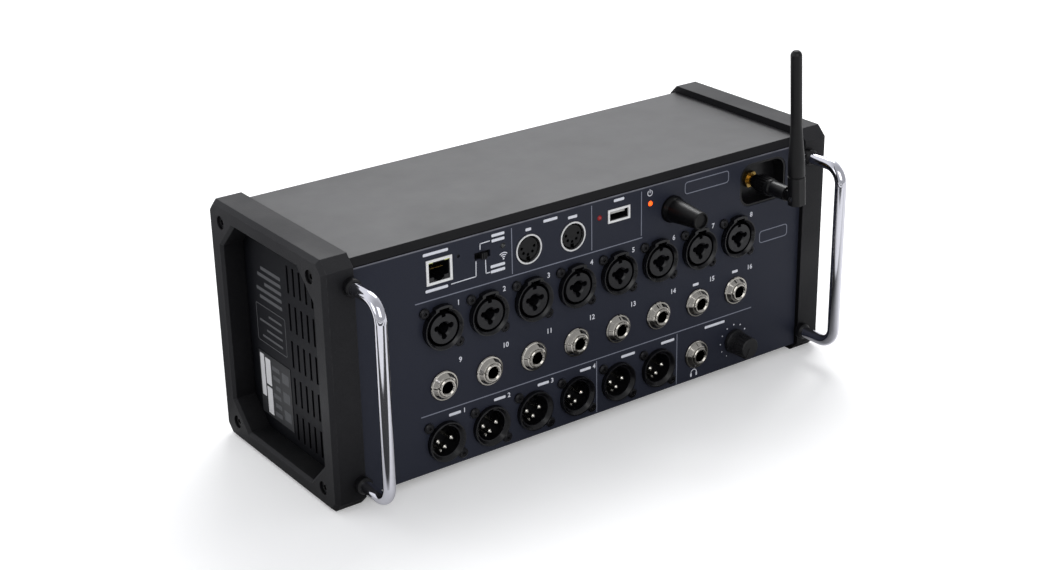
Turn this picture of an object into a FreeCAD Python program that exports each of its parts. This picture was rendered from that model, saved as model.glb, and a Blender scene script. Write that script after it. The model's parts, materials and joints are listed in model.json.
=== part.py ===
import FreeCAD, Part
import math
import os
import re
import Sketcher
from FreeCAD import Placement, Rotation, Vector

# Stagebox style audio mixer with a built-in wireless remote link, handles and end bumpers.
# Frame: +X to the right along the connector panel, +Y into the case, +Z up. y = 0 is the front
# face of the panel, z = 0 the plane the bumpers stand on, x = 0 the middle of the unit.
# On export the pieces are moved so that the origin lies in the middle of the unit's depth.
#
# Small literals such as 0.05 or 0.1 in the expressions are gaps between pieces.
# Offsets of about 1 on cutting tools only carry them past the faces they cut.

os.makedirs("parts", exist_ok=True)
for old in os.listdir("parts"):
    if old.endswith(".step"):
        os.remove(os.path.join("parts", old))

doc = FreeCAD.newDocument("stagebox_mixer")
sheet = doc.addObject("Spreadsheet::Sheet", "Sizes")

# alias, value, meaning
SIZES = [
    # overall
    ("half_width", 166.5, "half the width over the end bumpers"),
    ("origin_y", 40.65, "distance from the panel face back to the exported origin"),
    ("half_panel", 149.2, "half the width of the panel between the bumpers"),
    ("half_inner", 149.3, "inner face of each bumper"),
    ("bumper_height", 138.0, "height of the bumpers"),
    ("bumper_front", -2.7, "front face of the bumpers"),
    ("bumper_back", 116.2, "back face of the bumpers"),
    ("bumper_chamfer", 5.8, "corner chamfer of the bumper outline"),
    ("opening_front", 9.0, "front edge of the side opening"),
    ("opening_back", 104.5, "back edge of the side opening"),
    ("opening_low", 9.6, "bottom edge of the side opening"),
    ("opening_high", 128.0, "top edge of the side opening"),
    ("opening_chamfer", 14.5, "corner cut of the side opening"),
    ("rim_bevel", 2.2, "bevel round the outer face of a bumper"),
    ("mouth_bevel", 1.6, "bevel round the side opening"),
    ("rebate_face", 153.6, "inside of the rebate that traps the side plate"),
    ("rebate_front", 5.9, "front of the rebate"),
    ("rebate_back", 108.6, "back of the rebate"),
    ("rebate_low", 6.5, "bottom of the rebate"),
    ("rebate_high", 131.1, "top of the rebate"),
    # case
    ("panel_low", 5.0, "bottom edge of the panel"),
    ("panel_high", 130.2, "top edge of the panel"),
    ("panel_thick", 1.5, "panel sheet"),
    ("cover_high", 133.8, "top face of the cover"),
    ("cover_front", 5.0, "front edge of the flat top"),
    ("cover_rear", 111.3, "back edge of the flat top"),
    ("cover_edge", 130.4, "bottom of the cover bevels"),
    ("sheet_thick", 1.2, "cover and tray sheet"),
    ("case_back", 113.5, "outer face of the back wall"),
    ("lip_low", 128.2, "bottom of the front cover lip"),
    ("lid_first", -120.0, "first cover screw across"),
    ("lid_pitch", 80.0, "pitch of the cover screws"),
    ("lid_z", 129.3, "height of the cover screws"),
    ("lid_shank", 1.0, "radius of a cover screw shank"),
    ("side_face", 153.5, "outer face of the side plates"),
    ("side_thick", 1.1, "side plate sheet"),
    ("side_front", 6.0, "front edge of a side plate"),
    ("side_rear", 108.5, "back edge of a side plate"),
    ("side_low", 6.6, "bottom edge of a side plate"),
    ("side_high", 131.0, "top edge of a side plate"),
    ("side_return", 141.0, "inner end of the side plate flanges"),
    ("vent_pitch_y", 6.2, "pitch of the vent columns"),
    ("vent_pitch_z", 21.2, "pitch of the vent rows"),
    ("vent_long", 15.6, "length of one vent slot"),
    ("vent_wide", 1.9, "width of one vent slot"),
    ("vent_first_y", 27.0, "middle of vent column 0"),
    ("vent_first_z", 21.9, "middle of the lowest vent row"),
    # connector grid
    ("col_first", -98.6, "middle of the first connector column"),
    ("col_pitch", 28.5, "pitch of the connector columns"),
    ("combo_z", 85.2, "height of the combination sockets"),
    ("jack_z", 52.5, "height of the line jacks"),
    ("out_z", 20.5, "height of the output row"),
    ("combo_outer", 11.4, "outside radius of a combination socket collar"),
    ("combo_inner", 9.6, "inside radius of a combination socket collar"),
    ("combo_proud", 3.4, "how far that collar stands out"),
    ("combo_disc", 8.1, "radius of the socket face disc"),
    ("plug_hole", 3.25, "radius of a quarter inch plug hole"),
    ("combo_depth", 22.0, "depth of the socket body behind the panel"),
    ("ear_x", 10.2, "fixing screw offset across"),
    ("ear_z", 10.3, "fixing screw offset up"),
    ("ear_head", 2.8, "radius of a socket fixing screw head"),
    ("ear_shank", 1.4, "radius of its shank"),
    ("xlr_outer", 11.1, "outside radius of an output collar"),
    ("xlr_inner", 8.5, "inside radius of an output collar"),
    ("xlr_proud", 2.6, "how far that collar stands out"),
    ("xlr_floor", 11.0, "depth of the pin floor behind the panel"),
    ("xlr_pin", 1.2, "radius of a contact pin"),
    ("small_pin", 0.9, "radius of the fourth, thinner pin"),
    ("xlr_circle", 4.15, "radius of the pin circle"),
    ("nut_radius", 8.3, "radius of a line jack flange nut"),
    ("bush_radius", 5.0, "radius of a line jack bushing"),
    ("bush_proud", 4.6, "how far the bushing stands out"),
    ("jack_hole", 4.75, "radius of the panel hole and nut bore of a jack"),
    # remote section
    ("lan_x", -98.7, "middle of the network socket"),
    ("lan_z", 116.5, "height of the network socket"),
    ("lan_wide", 15.6, "width of its shield"),
    ("lan_tall", 13.6, "height of its shield"),
    ("reset_x", -86.9, "reset button position"),
    ("reset_z", 121.1, "reset button height"),
    ("mode_x", -72.3, "mode switch position"),
    ("mode_z", 118.2, "mode switch height"),
    ("led_radius", 1.5, "radius of a status lamp"),
    ("wifi_led_x", -59.5, "link lamp position"),
    ("led_z", 120.0, "height of the status lamps"),
    ("din_in_x", -43.4, "first round data socket"),
    ("din_out_x", -14.8, "second round data socket"),
    ("din_z", 114.1, "height of the round data sockets"),
    ("din_outer", 8.2, "outside radius of a round data socket ring"),
    ("din_inner", 7.3, "inside radius of that ring"),
    ("usb_x", 16.2, "serial bus socket position"),
    ("usb_z", 119.1, "serial bus socket height"),
    ("usb_led_x", 3.2, "serial bus lamp position"),
    ("power_led_x", 37.9, "power lamp position"),
    # phones
    ("phones_x", 72.4, "phones jack position"),
    ("dial_x", 100.8, "level dial position"),
    ("dial_z", 20.9, "level dial height"),
    ("dial_base", 7.2, "radius of the dial at the panel"),
    ("dial_face", 6.1, "radius of the dial face"),
    ("dial_long", 13.9, "height of the dial"),
    ("shaft_radius", 3.0, "radius of the dial shaft"),
    # antenna
    ("ant_x", 117.0, "antenna swivel axis across"),
    ("ant_z", 114.0, "antenna swivel axis height"),
    ("tilt_y", -30.2, "antenna tilt axis in front of the panel"),
    ("cup_x", 119.9, "middle of the antenna recess"),
    ("cup_z", 114.0, "height of the antenna recess"),
    ("cup_wide", 34.4, "width of the antenna recess"),
    ("cup_tall", 25.4, "height of the antenna recess mouth"),
    ("cup_round", 8.0, "corner radius of the recess mouth"),
    ("cup_deep", 9.0, "depth of the recess floor"),
    ("cup_wall", 1.2, "wall of the recess cup"),
    ("coupling_radius", 4.8, "radius of the antenna coupling sleeve"),
    ("coupling_front", -12.0, "front end of the coupling sleeve"),
    ("stem_radius", 4.3, "radius of the antenna stem"),
    ("knuckle_radius", 4.7, "largest radius of the turned part of the whip"),
    ("tongue_half", 2.2, "half the thickness of the stem tongue"),
    ("block_low", 4.0, "how far the whip block reaches below the tilt axis"),
    ("whip_lean", 3.2, "how far the whip leans to the left at rest, in degrees"),
    ("hinge_pin", 1.5, "radius of the tilt pin"),
    ("whip_seam", 126.5, "height of the seam on the whip"),
    ("whip_tip", 198.4, "height of the whip tip"),
    ("whip_radius", 3.2, "radius of the whip"),
    ("rest_x", 53.1, "antenna rest position"),
    ("rest_z", 113.4, "antenna rest height"),
    ("rest_long", 24.4, "length of the antenna rest"),
    ("rest_base", 7.7, "radius of the antenna rest at the panel"),
    ("rest_tip", 4.9, "radius of the antenna rest at its tip"),
    # handles
    ("handle_x", 151.5, "handle plane"),
    ("handle_high", 122.8, "upper leg height"),
    ("handle_low", 14.2, "lower leg height"),
    ("handle_front", -29.5, "middle of the grip bar"),
    ("handle_bend", 10.0, "bend radius"),
    ("bar_radius", 3.25, "radius of the bar"),
    ("stud_radius", 1.5, "radius of the studs on the handle ends"),
    ("collar_radius", 4.5, "radius of a handle collar"),
    ("collar_long", 4.2, "length of a handle collar"),
    # bumper fixings
    ("fix_front", 10.8, "front bumper screws"),
    ("fix_back", 102.9, "back bumper screws"),
    ("fix_low", 10.9, "lower bumper screws"),
    ("fix_high", 127.1, "upper bumper screws"),
    ("fix_head", 3.4, "bumper screw head radius"),
    ("fix_shank", 2.0, "bumper screw shank radius"),
    ("fix_sink", 3.6, "depth of the bumper counterbores"),
    # right side
    ("inlet_y", 74.0, "mains inlet position"),
    ("inlet_z", 40.0, "mains inlet height"),
    ("rocker_y", 74.0, "mains rocker position"),
    ("rocker_z", 84.0, "mains rocker height"),
    # boards
    ("board_thick", 1.6, "circuit board thickness"),
    ("input_board_y", 25.0, "front face of the socket board"),
    ("main_board_z", 103.0, "underside of the main board"),
    ("supply_board_z", 14.0, "underside of the supply board"),
]
for row, (alias, value, note) in enumerate(SIZES, start=1):
    sheet.set(f"A{row}", note)
    sheet.set(f"B{row}", str(value))
    sheet.setAlias(f"B{row}", alias)
doc.recompute()

# ---- expressions -------------------------------------------------------------------------------
# A dimension is a number, or a string of aliases, numbers, + - * / and brackets.
WORD = r"[a-z][a-z_]+"


def size(alias):
    return float(sheet.get(alias))


def bound(dimension):
    """the dimension as text for setExpression"""
    if not isinstance(dimension, str):
        return repr(float(dimension))
    return re.sub(WORD, lambda found: "Sizes." + found.group(), dimension)


def number(dimension):
    """the dimension as a float"""
    if not isinstance(dimension, str):
        return float(dimension)
    tokens = re.findall(WORD + r"|[0-9.]+|[-+*/()]", dimension)

    def factor():
        token = tokens.pop(0)
        if token == "(":
            value = total()
            tokens.pop(0)
            return value
        if token == "-":
            return -factor()
        if token == "+":
            return factor()
        return size(token) if token[0].isalpha() else float(token)

    def product():
        value = factor()
        while tokens and tokens[0] in "*/":
            if tokens.pop(0) == "*":
                value *= factor()
            else:
                value /= factor()
        return value

    def total():
        value = product()
        while tokens and tokens[0] in "+-":
            if tokens.pop(0) == "+":
                value += product()
            else:
                value -= product()
        return value

    return total()


def series(first, pitch, count):
    return [f"{first}+{i}*{pitch}" for i in range(count)]


def steps_across(pitch, count):
    """offsets along X for copies of one piece"""
    return [(i * size(pitch), 0, 0) for i in range(count)]


def on_circle(x, z, radius, degrees):
    """x and z of a point on a circle, as expressions"""
    angle = math.radians(degrees)
    return f"{x}{radius * math.cos(angle):+.4f}", f"{z}{radius * math.sin(angle):+.4f}"


# ---- solids ------------------------------------------------------------------------------------
EXPORT = []
AXES = {
    "Z": Rotation(),
    "Y": Rotation(Vector(1, 0, 0), -90),
    "-Y": Rotation(Vector(1, 0, 0), 90),
    "X": Rotation(Vector(0, 1, 0), 90),
    "-X": Rotation(Vector(0, 1, 0), -90),
}


def node(piece, name):
    """label a finished piece and list it for export"""
    piece.Label = name
    EXPORT.append((name, piece))


def place(piece, x, y, z, rotation=Rotation()):
    piece.Placement = Placement(Vector(number(x), number(y), number(z)), rotation)
    for axis, dimension in (("x", x), ("y", y), ("z", z)):
        piece.setExpression("Placement.Base." + axis, bound(dimension))
    return piece


def primitive(kind, label, dimensions):
    piece = doc.addObject("Part::" + kind, label)
    for name, dimension in dimensions.items():
        piece.setExpression(name, bound(dimension))
    return piece


def box(wide, deep, tall, x, y, z):
    """block from its left, front, bottom corner; sizes along X, Y and Z"""
    piece = primitive("Box", "block", {"Length": wide, "Width": deep, "Height": tall})
    return place(piece, x, y, z)


def centred(wide, deep, tall, x, y, z):
    """block that starts at y and is centred on x and z"""
    return box(wide, deep, tall, f"{x}-({wide})/2", y, f"{z}-({tall})/2")


def rod(radius, length, x, y, z, axis="Y"):
    piece = primitive("Cylinder", "round", {"Radius": radius, "Height": length})
    return place(piece, x, y, z, AXES[axis])


def cone(start_radius, end_radius, length, x, y, z, axis="Y"):
    piece = primitive("Cone", "taper",
                      {"Radius1": start_radius, "Radius2": end_radius, "Height": length})
    return place(piece, x, y, z, AXES[axis])


def fuse(*pieces):
    joined = doc.addObject("Part::MultiFuse", "join")
    joined.Shapes = list(pieces)
    joined.Refine = True
    return joined


def cut(base, *tools):
    result = doc.addObject("Part::Cut", "cutout")
    result.Base = base
    result.Tool = tools[0] if len(tools) == 1 else fuse(*tools)
    result.Refine = True
    return result


def common(base, tool):
    result = doc.addObject("Part::Common", "overlap")
    result.Base = base
    result.Tool = tool
    return result


def copies(sources, spots):
    """solids of the sources, copied to each of the given offsets"""
    doc.recompute()
    solids = []
    for spot in spots:
        for source in sources:
            shape = source.Shape.copy()
            shape.translate(Vector(*spot))
            solids.extend(shape.Solids)
    return solids


def shape_node(name, shape):
    piece = doc.addObject("Part::Feature", name)
    piece.Shape = shape
    node(piece, name)


def group(name, sources, spots):
    """one node made of separate copied solids"""
    shape_node(name, Part.makeCompound(copies(sources, spots)))


# ---- sketched bodies ---------------------------------------------------------------------------
# Sketch axes: XY_Plane (x, y), XZ_Plane (x, z) facing -Y, YZ_Plane (y, z) facing +X.
def new_sketch(body, plane, offset=0.0):
    sketch = body.newObject("Sketcher::SketchObject", "outline")
    base = next(f for f in body.Origin.OriginFeatures if f.Role == plane)
    sketch.AttachmentSupport = [(base, "")]
    sketch.MapMode = "FlatFace"
    sketch.AttachmentOffset = Placement(Vector(0, 0, number(offset)), Rotation())
    sketch.setExpression("AttachmentOffset.Base.z", bound(offset))
    return sketch


def tie_points(sketch, points, constraints, dimensions):
    """constrain (geometry, vertex, x, y) points to the sheet, after the given constraints"""
    for geometry, vertex, x, y in points:
        for kind, dimension, axis in (("DistanceX", x, -2), ("DistanceY", y, -1)):
            value = number(dimension)
            if abs(value) < 1e-9:
                tie = Sketcher.Constraint("PointOnObject", geometry, vertex, axis)
                dimension = None
            else:
                tie = Sketcher.Constraint(kind, -1, 1, geometry, vertex, value)
            constraints.append(tie)
            dimensions.append(dimension)
    base = sketch.ConstraintCount
    sketch.addConstraint(constraints)
    for i, dimension in enumerate(dimensions):
        if dimension is not None:
            sketch.setExpression(f"Constraints[{base + i}]", bound(dimension))


def draw_polygon(sketch, points):
    count = len(points)
    first = sketch.GeometryCount
    corners = [Vector(number(x), number(y), 0) for x, y in points]
    sketch.addGeometry(
        [Part.LineSegment(corners[i], corners[(i + 1) % count]) for i in range(count)], False)
    joints = [Sketcher.Constraint("Coincident", first + i, 2, first + (i + 1) % count, 1)
              for i in range(count)]
    ends = [(first + i, 1, x, y) for i, (x, y) in enumerate(points)]
    tie_points(sketch, ends, joints, [None] * count)


def draw_circle(sketch, x, y, radius):
    centre = Vector(number(x), number(y), 0)
    ring = sketch.addGeometry(Part.Circle(centre, Vector(0, 0, 1), number(radius)), False)
    width = Sketcher.Constraint("Radius", ring, number(radius))
    tie_points(sketch, [(ring, 3, x, y)], [width], [radius])


def rectangle(x_low, y_low, x_high, y_high):
    return [(x_low, y_low), (x_high, y_low), (x_high, y_high), (x_low, y_high)]


def centred_rectangle(x, y, wide, tall):
    return rectangle(f"{x}-({wide})/2", f"{y}-({tall})/2", f"{x}+({wide})/2", f"{y}+({tall})/2")


def octagon(x_low, y_low, x_high, y_high, corner):
    """rectangle with its corners cut at 45 degrees"""
    return [(f"{x_low}+{corner}", y_low), (f"{x_high}-{corner}", y_low),
            (x_high, f"{y_low}+{corner}"), (x_high, f"{y_high}-{corner}"),
            (f"{x_high}-{corner}", y_high), (f"{x_low}+{corner}", y_high),
            (x_low, f"{y_high}-{corner}"), (x_low, f"{y_low}+{corner}")]


def add_feature(body, kind, label, properties, dimensions, removes=False):
    """add a feature at the tip of a body; one that removes material must really do so"""
    before = body.Shape.Volume if removes else 0.0
    feature = body.newObject("PartDesign::" + kind, label)
    for name, value in properties.items():
        setattr(feature, name, value)
    for name, dimension in dimensions.items():
        feature.setExpression(name, bound(dimension))
    body.Tip = feature
    doc.recompute()
    if removes and not body.Shape.Volume < before - 1e-6:
        raise RuntimeError(f"a {label} in {body.Name} cut nothing")
    return feature


def padded(name, plane, offset, points, length, reverse=False):
    """new body: an extruded polygon"""
    body = doc.addObject("PartDesign::Body", name)
    sketch = new_sketch(body, plane, offset)
    draw_polygon(sketch, points)
    add_feature(body, "Pad", "pad", {"Profile": sketch, "Reversed": reverse}, {"Length": length})
    return body


def turned(name, points, x, y, z, plane="XY_Plane"):
    """new body: a profile turned about the upright axis of its sketch, then placed"""
    body = doc.addObject("PartDesign::Body", name)
    sketch = new_sketch(body, plane)
    draw_polygon(sketch, points)
    add_feature(body, "Revolution", "revolution",
                {"Profile": sketch, "ReferenceAxis": (sketch, ["V_Axis"]), "Angle": 360.0}, {})
    return place(body, x, y, z)


def pocket(body, plane, offset, length, circles=(), polygons=(), reverse=False, repeat=None):
    """cut one sketch of circles (x, y, radius) and polygons.
    repeat: (overall length, count) of a pattern along the sketch's first axis"""
    sketch = new_sketch(body, plane, offset)
    for circle in circles:
        draw_circle(sketch, *circle)
    for points in polygons:
        draw_polygon(sketch, points)
    feature = add_feature(body, "Pocket", "pocket", {"Profile": sketch, "Reversed": reverse},
                          {"Length": length}, removes=True)
    if repeat:
        span, count = repeat
        add_feature(body, "LinearPattern", "pattern",
                    {"Originals": [feature], "Direction": (sketch, ["H_Axis"]),
                     "Occurrences": count}, {"Length": span}, removes=True)


def chamfer(body, wanted, width):
    """bevel the edges whose end points all pass the test"""
    edges = [f"Edge{i}" for i, edge in enumerate(body.Shape.Edges, start=1)
             if all(wanted(vertex.Point) for vertex in edge.Vertexes)]
    add_feature(body, "Chamfer", "chamfer", {"Base": (body.Tip, edges)}, {"Size": width})


# ---- connector grid ----------------------------------------------------------------------------
COLUMNS = series("col_first", "col_pitch", 8)
OUT_COLUMNS = COLUMNS[:6]
FIRST = "col_first"
COMBO_SPOTS = steps_across("col_pitch", 8)
XLR_SPOTS = steps_across("col_pitch", 6)
# output contacts: offset across, offset up, radius
XLR_CONTACTS = [
    ("-xlr_circle", "+0", "xlr_pin"),
    ("+xlr_circle", "+0", "xlr_pin"),
    ("+0", "-xlr_circle", "xlr_pin"),
    ("-3.1", "-5.2", "small_pin"),
]


def ear_centres(column, row):
    """the two fixing screws of a socket: upper left and lower right"""
    return [(column + "-ear_x", row + "+ear_z"), (column + "+ear_x", row + "-ear_z")]


# ---- connector panel ---------------------------------------------------------------------------
def front_panel():
    panel = padded("front_panel", "XZ_Plane", 0.0,
                   rectangle("-half_panel", "panel_low", "half_panel", "panel_high"),
                   "panel_thick", reverse=True)

    def through(circles=(), polygons=()):
        pocket(panel, "XZ_Plane", 0.0, "panel_thick+1", circles, polygons)

    circles = []
    for column in COLUMNS:
        circles.append((column, "combo_z", "combo_outer+0.15"))
        circles.append((column, "jack_z", "jack_hole"))
    circles += [(column, "out_z", "xlr_outer+0.15") for column in OUT_COLUMNS]
    circles += [("phones_x", "out_z", "jack_hole"), ("dial_x", "dial_z", 3.65)]
    circles += [(x, "din_z", "din_outer+0.1") for x in ("din_in_x", "din_out_x")]
    circles += [(x, "led_z", "led_radius+0.05") for x in ("wifi_led_x", "usb_led_x", "power_led_x")]
    circles += [("reset_x", "reset_z", 0.95), ("rest_x", "rest_z", 2.1)]
    through(circles, [
        centred_rectangle("lan_x", "lan_z", "lan_wide+0.2", "lan_tall+0.2"),
        centred_rectangle("usb_x", "usb_z", 15.2, 7.8),
        centred_rectangle("mode_x", "mode_z", 9.8, 3.8)])

    sockets = [(column, "combo_z") for column in COLUMNS]
    sockets += [(column, "out_z") for column in OUT_COLUMNS]
    through([(x, z, "ear_shank+0.1") for socket in sockets for x, z in ear_centres(*socket)])

    # rounded mouth of the antenna recess: two crossed rectangles and four corner circles
    through(polygons=[centred_rectangle("cup_x", "cup_z", "cup_wide-2*cup_round", "cup_tall")])
    through(polygons=[centred_rectangle("cup_x", "cup_z", "cup_wide", "cup_tall-2*cup_round")])
    for x in ("cup_x-cup_wide/2+cup_round", "cup_x+cup_wide/2-cup_round"):
        for z in ("cup_z-cup_tall/2+cup_round", "cup_z+cup_tall/2-cup_round"):
            through([(x, z, "cup_round")])
    node(panel, "front_panel")


front_panel()

# ---- cover and tray ----------------------------------------------------------------------------
LID_HOLES = [(x, "lid_z", "lid_shank+0.05") for x in series("lid_first", "lid_pitch", 4)]


def top_cover():
    """one bent sheet, drawn as its section (y, z)"""
    front_lip_in = "panel_thick+0.2+sheet_thick"
    rear_lip_out = "case_back-sheet_thick-0.1"
    rear_lip_in = "case_back-2*sheet_thick-0.1"
    section = [
        (0.1, "cover_edge"), ("cover_front", "cover_high"),
        ("cover_rear", "cover_high"), ("case_back-0.1", "cover_edge"),
        (rear_lip_out, "cover_edge"), (rear_lip_out, "lip_low-1.6"),
        (rear_lip_in, "lip_low-1.6"), (rear_lip_in, "cover_edge+0.6"),
        ("cover_rear-sheet_thick/2", "cover_high-sheet_thick"),
        ("cover_front+sheet_thick/2", "cover_high-sheet_thick"),
        (front_lip_in, "cover_edge+0.6"), (front_lip_in, "lip_low"),
        ("panel_thick+0.2", "lip_low"), ("panel_thick+0.2", "cover_edge"),
    ]
    cover = padded("top_cover", "YZ_Plane", "-half_panel", section, "2*half_panel")
    pocket(cover, "XZ_Plane", "-case_back-1", 5.0, LID_HOLES, reverse=True)
    node(cover, "top_cover")


def bottom_tray():
    """floor, back wall and front lip, drawn as their section (y, z)"""
    front = "panel_thick+0.1"
    floor = "panel_low+sheet_thick"
    section = [
        (front, "panel_low"), ("case_back", "panel_low"), ("case_back", "cover_edge-0.1"),
        ("case_back-sheet_thick", "cover_edge-0.1"), ("case_back-sheet_thick", floor),
        (front + "+sheet_thick", floor), (front + "+sheet_thick", "panel_low+2.6"),
        (front, "panel_low+2.6"),
    ]
    tray = padded("bottom_tray", "YZ_Plane", "-half_panel", section, "2*half_panel")
    # three rows of vent slots low in the back wall
    slot_left, slot_right, slot_tall = -110.0, -98.0, 2.2
    slots = [rectangle(slot_left, z, slot_right, z + slot_tall) for z in (30.0, 38.0, 46.0)]
    pocket(tray, "XZ_Plane", "-case_back-1", 4.0, polygons=slots, reverse=True,
           repeat=(220.0, 12))
    pocket(tray, "XZ_Plane", "-case_back-1", 2.6, LID_HOLES, reverse=True)
    node(tray, "bottom_tray")


top_cover()
bottom_tray()

# ---- side plates: shallow pans behind the bumper frames ----------------------------------------
FIX_CENTRES = [(y, z) for y in ("fix_front", "fix_back") for z in ("fix_low", "fix_high")]
FIX_HOLES = [(y, z, "fix_shank+0.1") for y, z in FIX_CENTRES]


def side_plate(name, left, vent_blocks):
    """vent_blocks: first column, rows, number of columns"""
    start = "-side_face" if left else "side_return"
    hollow_start = "-side_face+side_thick" if left else "side_return-1"
    hollow_long = "side_face-side_return-side_thick" + ("" if left else "+1")
    hole_start = "-side_face-1" if left else "side_face-side_thick-1"
    plate = padded(name, "YZ_Plane", start,
                   rectangle("side_front", "side_low", "side_rear", "side_high"),
                   "side_face-side_return")
    hollow = rectangle("side_front+side_thick", "side_low+side_thick",
                       "side_rear-side_thick", "side_high-side_thick")
    pocket(plate, "YZ_Plane", hollow_start, hollow_long, polygons=[hollow], reverse=True)

    def through(circles=(), polygons=(), repeat=None):
        pocket(plate, "YZ_Plane", hole_start, "side_thick+2", circles, polygons, True, repeat)

    for column, rows, count in vent_blocks:
        slots = [centred_rectangle(f"vent_first_y+{column}*vent_pitch_y",
                                   f"vent_first_z+{row}*vent_pitch_z",
                                   "vent_wide", "vent_long") for row in rows]
        through(polygons=slots, repeat=(f"{count - 1}*vent_pitch_y", count))
    through(FIX_HOLES)
    if not left:
        through(polygons=[centred_rectangle("inlet_y", "inlet_z", 27.6, 20.2),
                          centred_rectangle("rocker_y", "rocker_z", 13.2, 19.6)])
    node(plate, name)


side_plate("side_plate_left", True, [(0, range(5), 6)])
# beside the mains entry only the top vent row goes on
side_plate("side_plate_right", False, [(-1, range(5), 4), (3, [4], 8)])


# ---- bumpers: octagonal frames with a rebate for the side plate --------------------------------
def bumper(name, left):
    start = "-half_width" if left else "half_inner"
    through_start = start + "-1"
    face = size("half_width") * (-1 if left else 1)
    frame = padded(name, "YZ_Plane", start,
                   octagon("bumper_front", 0, "bumper_back", "bumper_height", "bumper_chamfer"),
                   "half_width-half_inner")

    def on_face(point):
        return abs(point.x - face) < 1e-6

    def on_mouth(point):
        return (on_face(point)
                and size("opening_front") - 0.01 <= point.y <= size("opening_back") + 0.01
                and size("opening_low") - 0.01 <= point.z <= size("opening_high") + 0.01)

    # the outer rim is bevelled before the opening adds edges to the same face
    chamfer(frame, on_face, "rim_bevel")
    opening = octagon("opening_front", "opening_low", "opening_back", "opening_high",
                      "opening_chamfer")
    pocket(frame, "YZ_Plane", through_start, "half_width-half_inner+2", polygons=[opening],
           reverse=True)
    chamfer(frame, on_mouth, "mouth_bevel")
    rebate = rectangle("rebate_front", "rebate_low", "rebate_back", "rebate_high")
    pocket(frame, "YZ_Plane", "-rebate_face" if left else "half_inner-1",
           "rebate_face-half_inner+1", polygons=[rebate], reverse=True)
    # screw holes, their counterbores, and blind holes for the handle studs
    pocket(frame, "YZ_Plane", through_start, "half_width-half_inner+2", FIX_HOLES, reverse=True)
    pocket(frame, "YZ_Plane", "-half_width-1" if left else "half_width-fix_sink", "fix_sink+1",
           [(y, z, "fix_head+0.3") for y, z in FIX_CENTRES], reverse=True)
    handle_plane = "-handle_x" if left else "handle_x"
    pocket(frame, "XZ_Plane", "-bumper_front+1", 8.6,
           [(handle_plane, z, "stud_radius+0.05") for z in ("handle_low", "handle_high")])
    node(frame, name)


bumper("bumper_left", True)
bumper("bumper_right", False)


def bumper_screw(face, inward, axis):
    """front lower screw of one bumper, pointing into the case"""
    head_long, shank_long = 2.4, 16.5
    recess_radius, recess_long = 1.5, 1.3

    def along(radius, length, depth):
        return rod(radius, length, f"{face}{inward}{depth}", "fix_front", "fix_low", axis)

    return cut(fuse(along("fix_head", head_long, 1.15), along("fix_shank", shank_long, 1.2)),
               along(recess_radius, recess_long, 0.9))


def bumper_screws():
    rise = size("fix_high") - size("fix_low")
    back = size("fix_back") - size("fix_front")
    spots = [(0, y, z) for y in (0, back) for z in (0, rise)]
    left = copies([bumper_screw("-half_width", "+", "X")], spots)
    right = copies([bumper_screw("half_width", "-", "-X")], spots)
    shape_node("bumper_screws", Part.makeCompound(left + right))


bumper_screws()


# ---- carry handles -----------------------------------------------------------------------------
def quarter_bend(x, y, z, start, finish):
    """quarter torus from the start direction to the finish direction"""
    bend = primitive("Torus", "bend", {"Radius1": "handle_bend", "Radius2": "bar_radius"})
    bend.Angle3 = 90.0
    return place(bend, x, y, z, Rotation(start, finish, start.cross(finish), "ZXY"))


def handle(name, x):
    bend_y = "handle_front+handle_bend"
    leg_long = "-handle_front-handle_bend+bumper_front-0.05"
    stud_long = 6.5
    forward, up, down = Vector(0, -1, 0), Vector(0, 0, 1), Vector(0, 0, -1)
    pieces = []
    for z in ("handle_high", "handle_low"):
        pieces.append(rod("bar_radius", leg_long, x, bend_y, z))
        pieces.append(rod("stud_radius", stud_long, x, "bumper_front-0.05-0.2", z))
    pieces.append(rod("bar_radius", "handle_high-handle_low-2*handle_bend",
                      x, "handle_front", "handle_low+handle_bend", "Z"))
    pieces.append(quarter_bend(x, bend_y, "handle_high-handle_bend", forward, up))
    pieces.append(quarter_bend(x, bend_y, "handle_low+handle_bend", down, forward))
    node(fuse(*pieces), name)


def handle_collars():
    """rings round the handle legs where they meet the bumpers"""
    at_leg = ("-handle_x", "bumper_front-collar_long", "handle_low")
    x, y, z = at_leg
    ring = fuse(rod("collar_radius", "collar_long-1", x, y + "+0.95", z),
                cone("collar_radius-0.8", "collar_radius", 1.0, x, y + "-0.05", z))
    ring = cut(ring, rod("bar_radius+0.05", "collar_long+2", x, y + "-1", z))
    rise = size("handle_high") - size("handle_low")
    group("handle_collars", [ring],
          [(across, 0, up) for across in (0, 2 * size("handle_x")) for up in (0, rise)])


handle("handle_left", "-handle_x")
handle("handle_right", "handle_x")
handle_collars()

# ---- cover screws through the back wall --------------------------------------------------------
screw = cut(fuse(rod(2.3, 1.5, "lid_first", "case_back+0.02", "lid_z"),
                 rod("lid_shank", 3.0, "lid_first", "case_back-2.9", "lid_z")),
            rod(1.0, 1.0, "lid_first", "case_back+0.9", "lid_z"))
group("cover_screws", [screw], steps_across("lid_pitch", 4))


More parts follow.
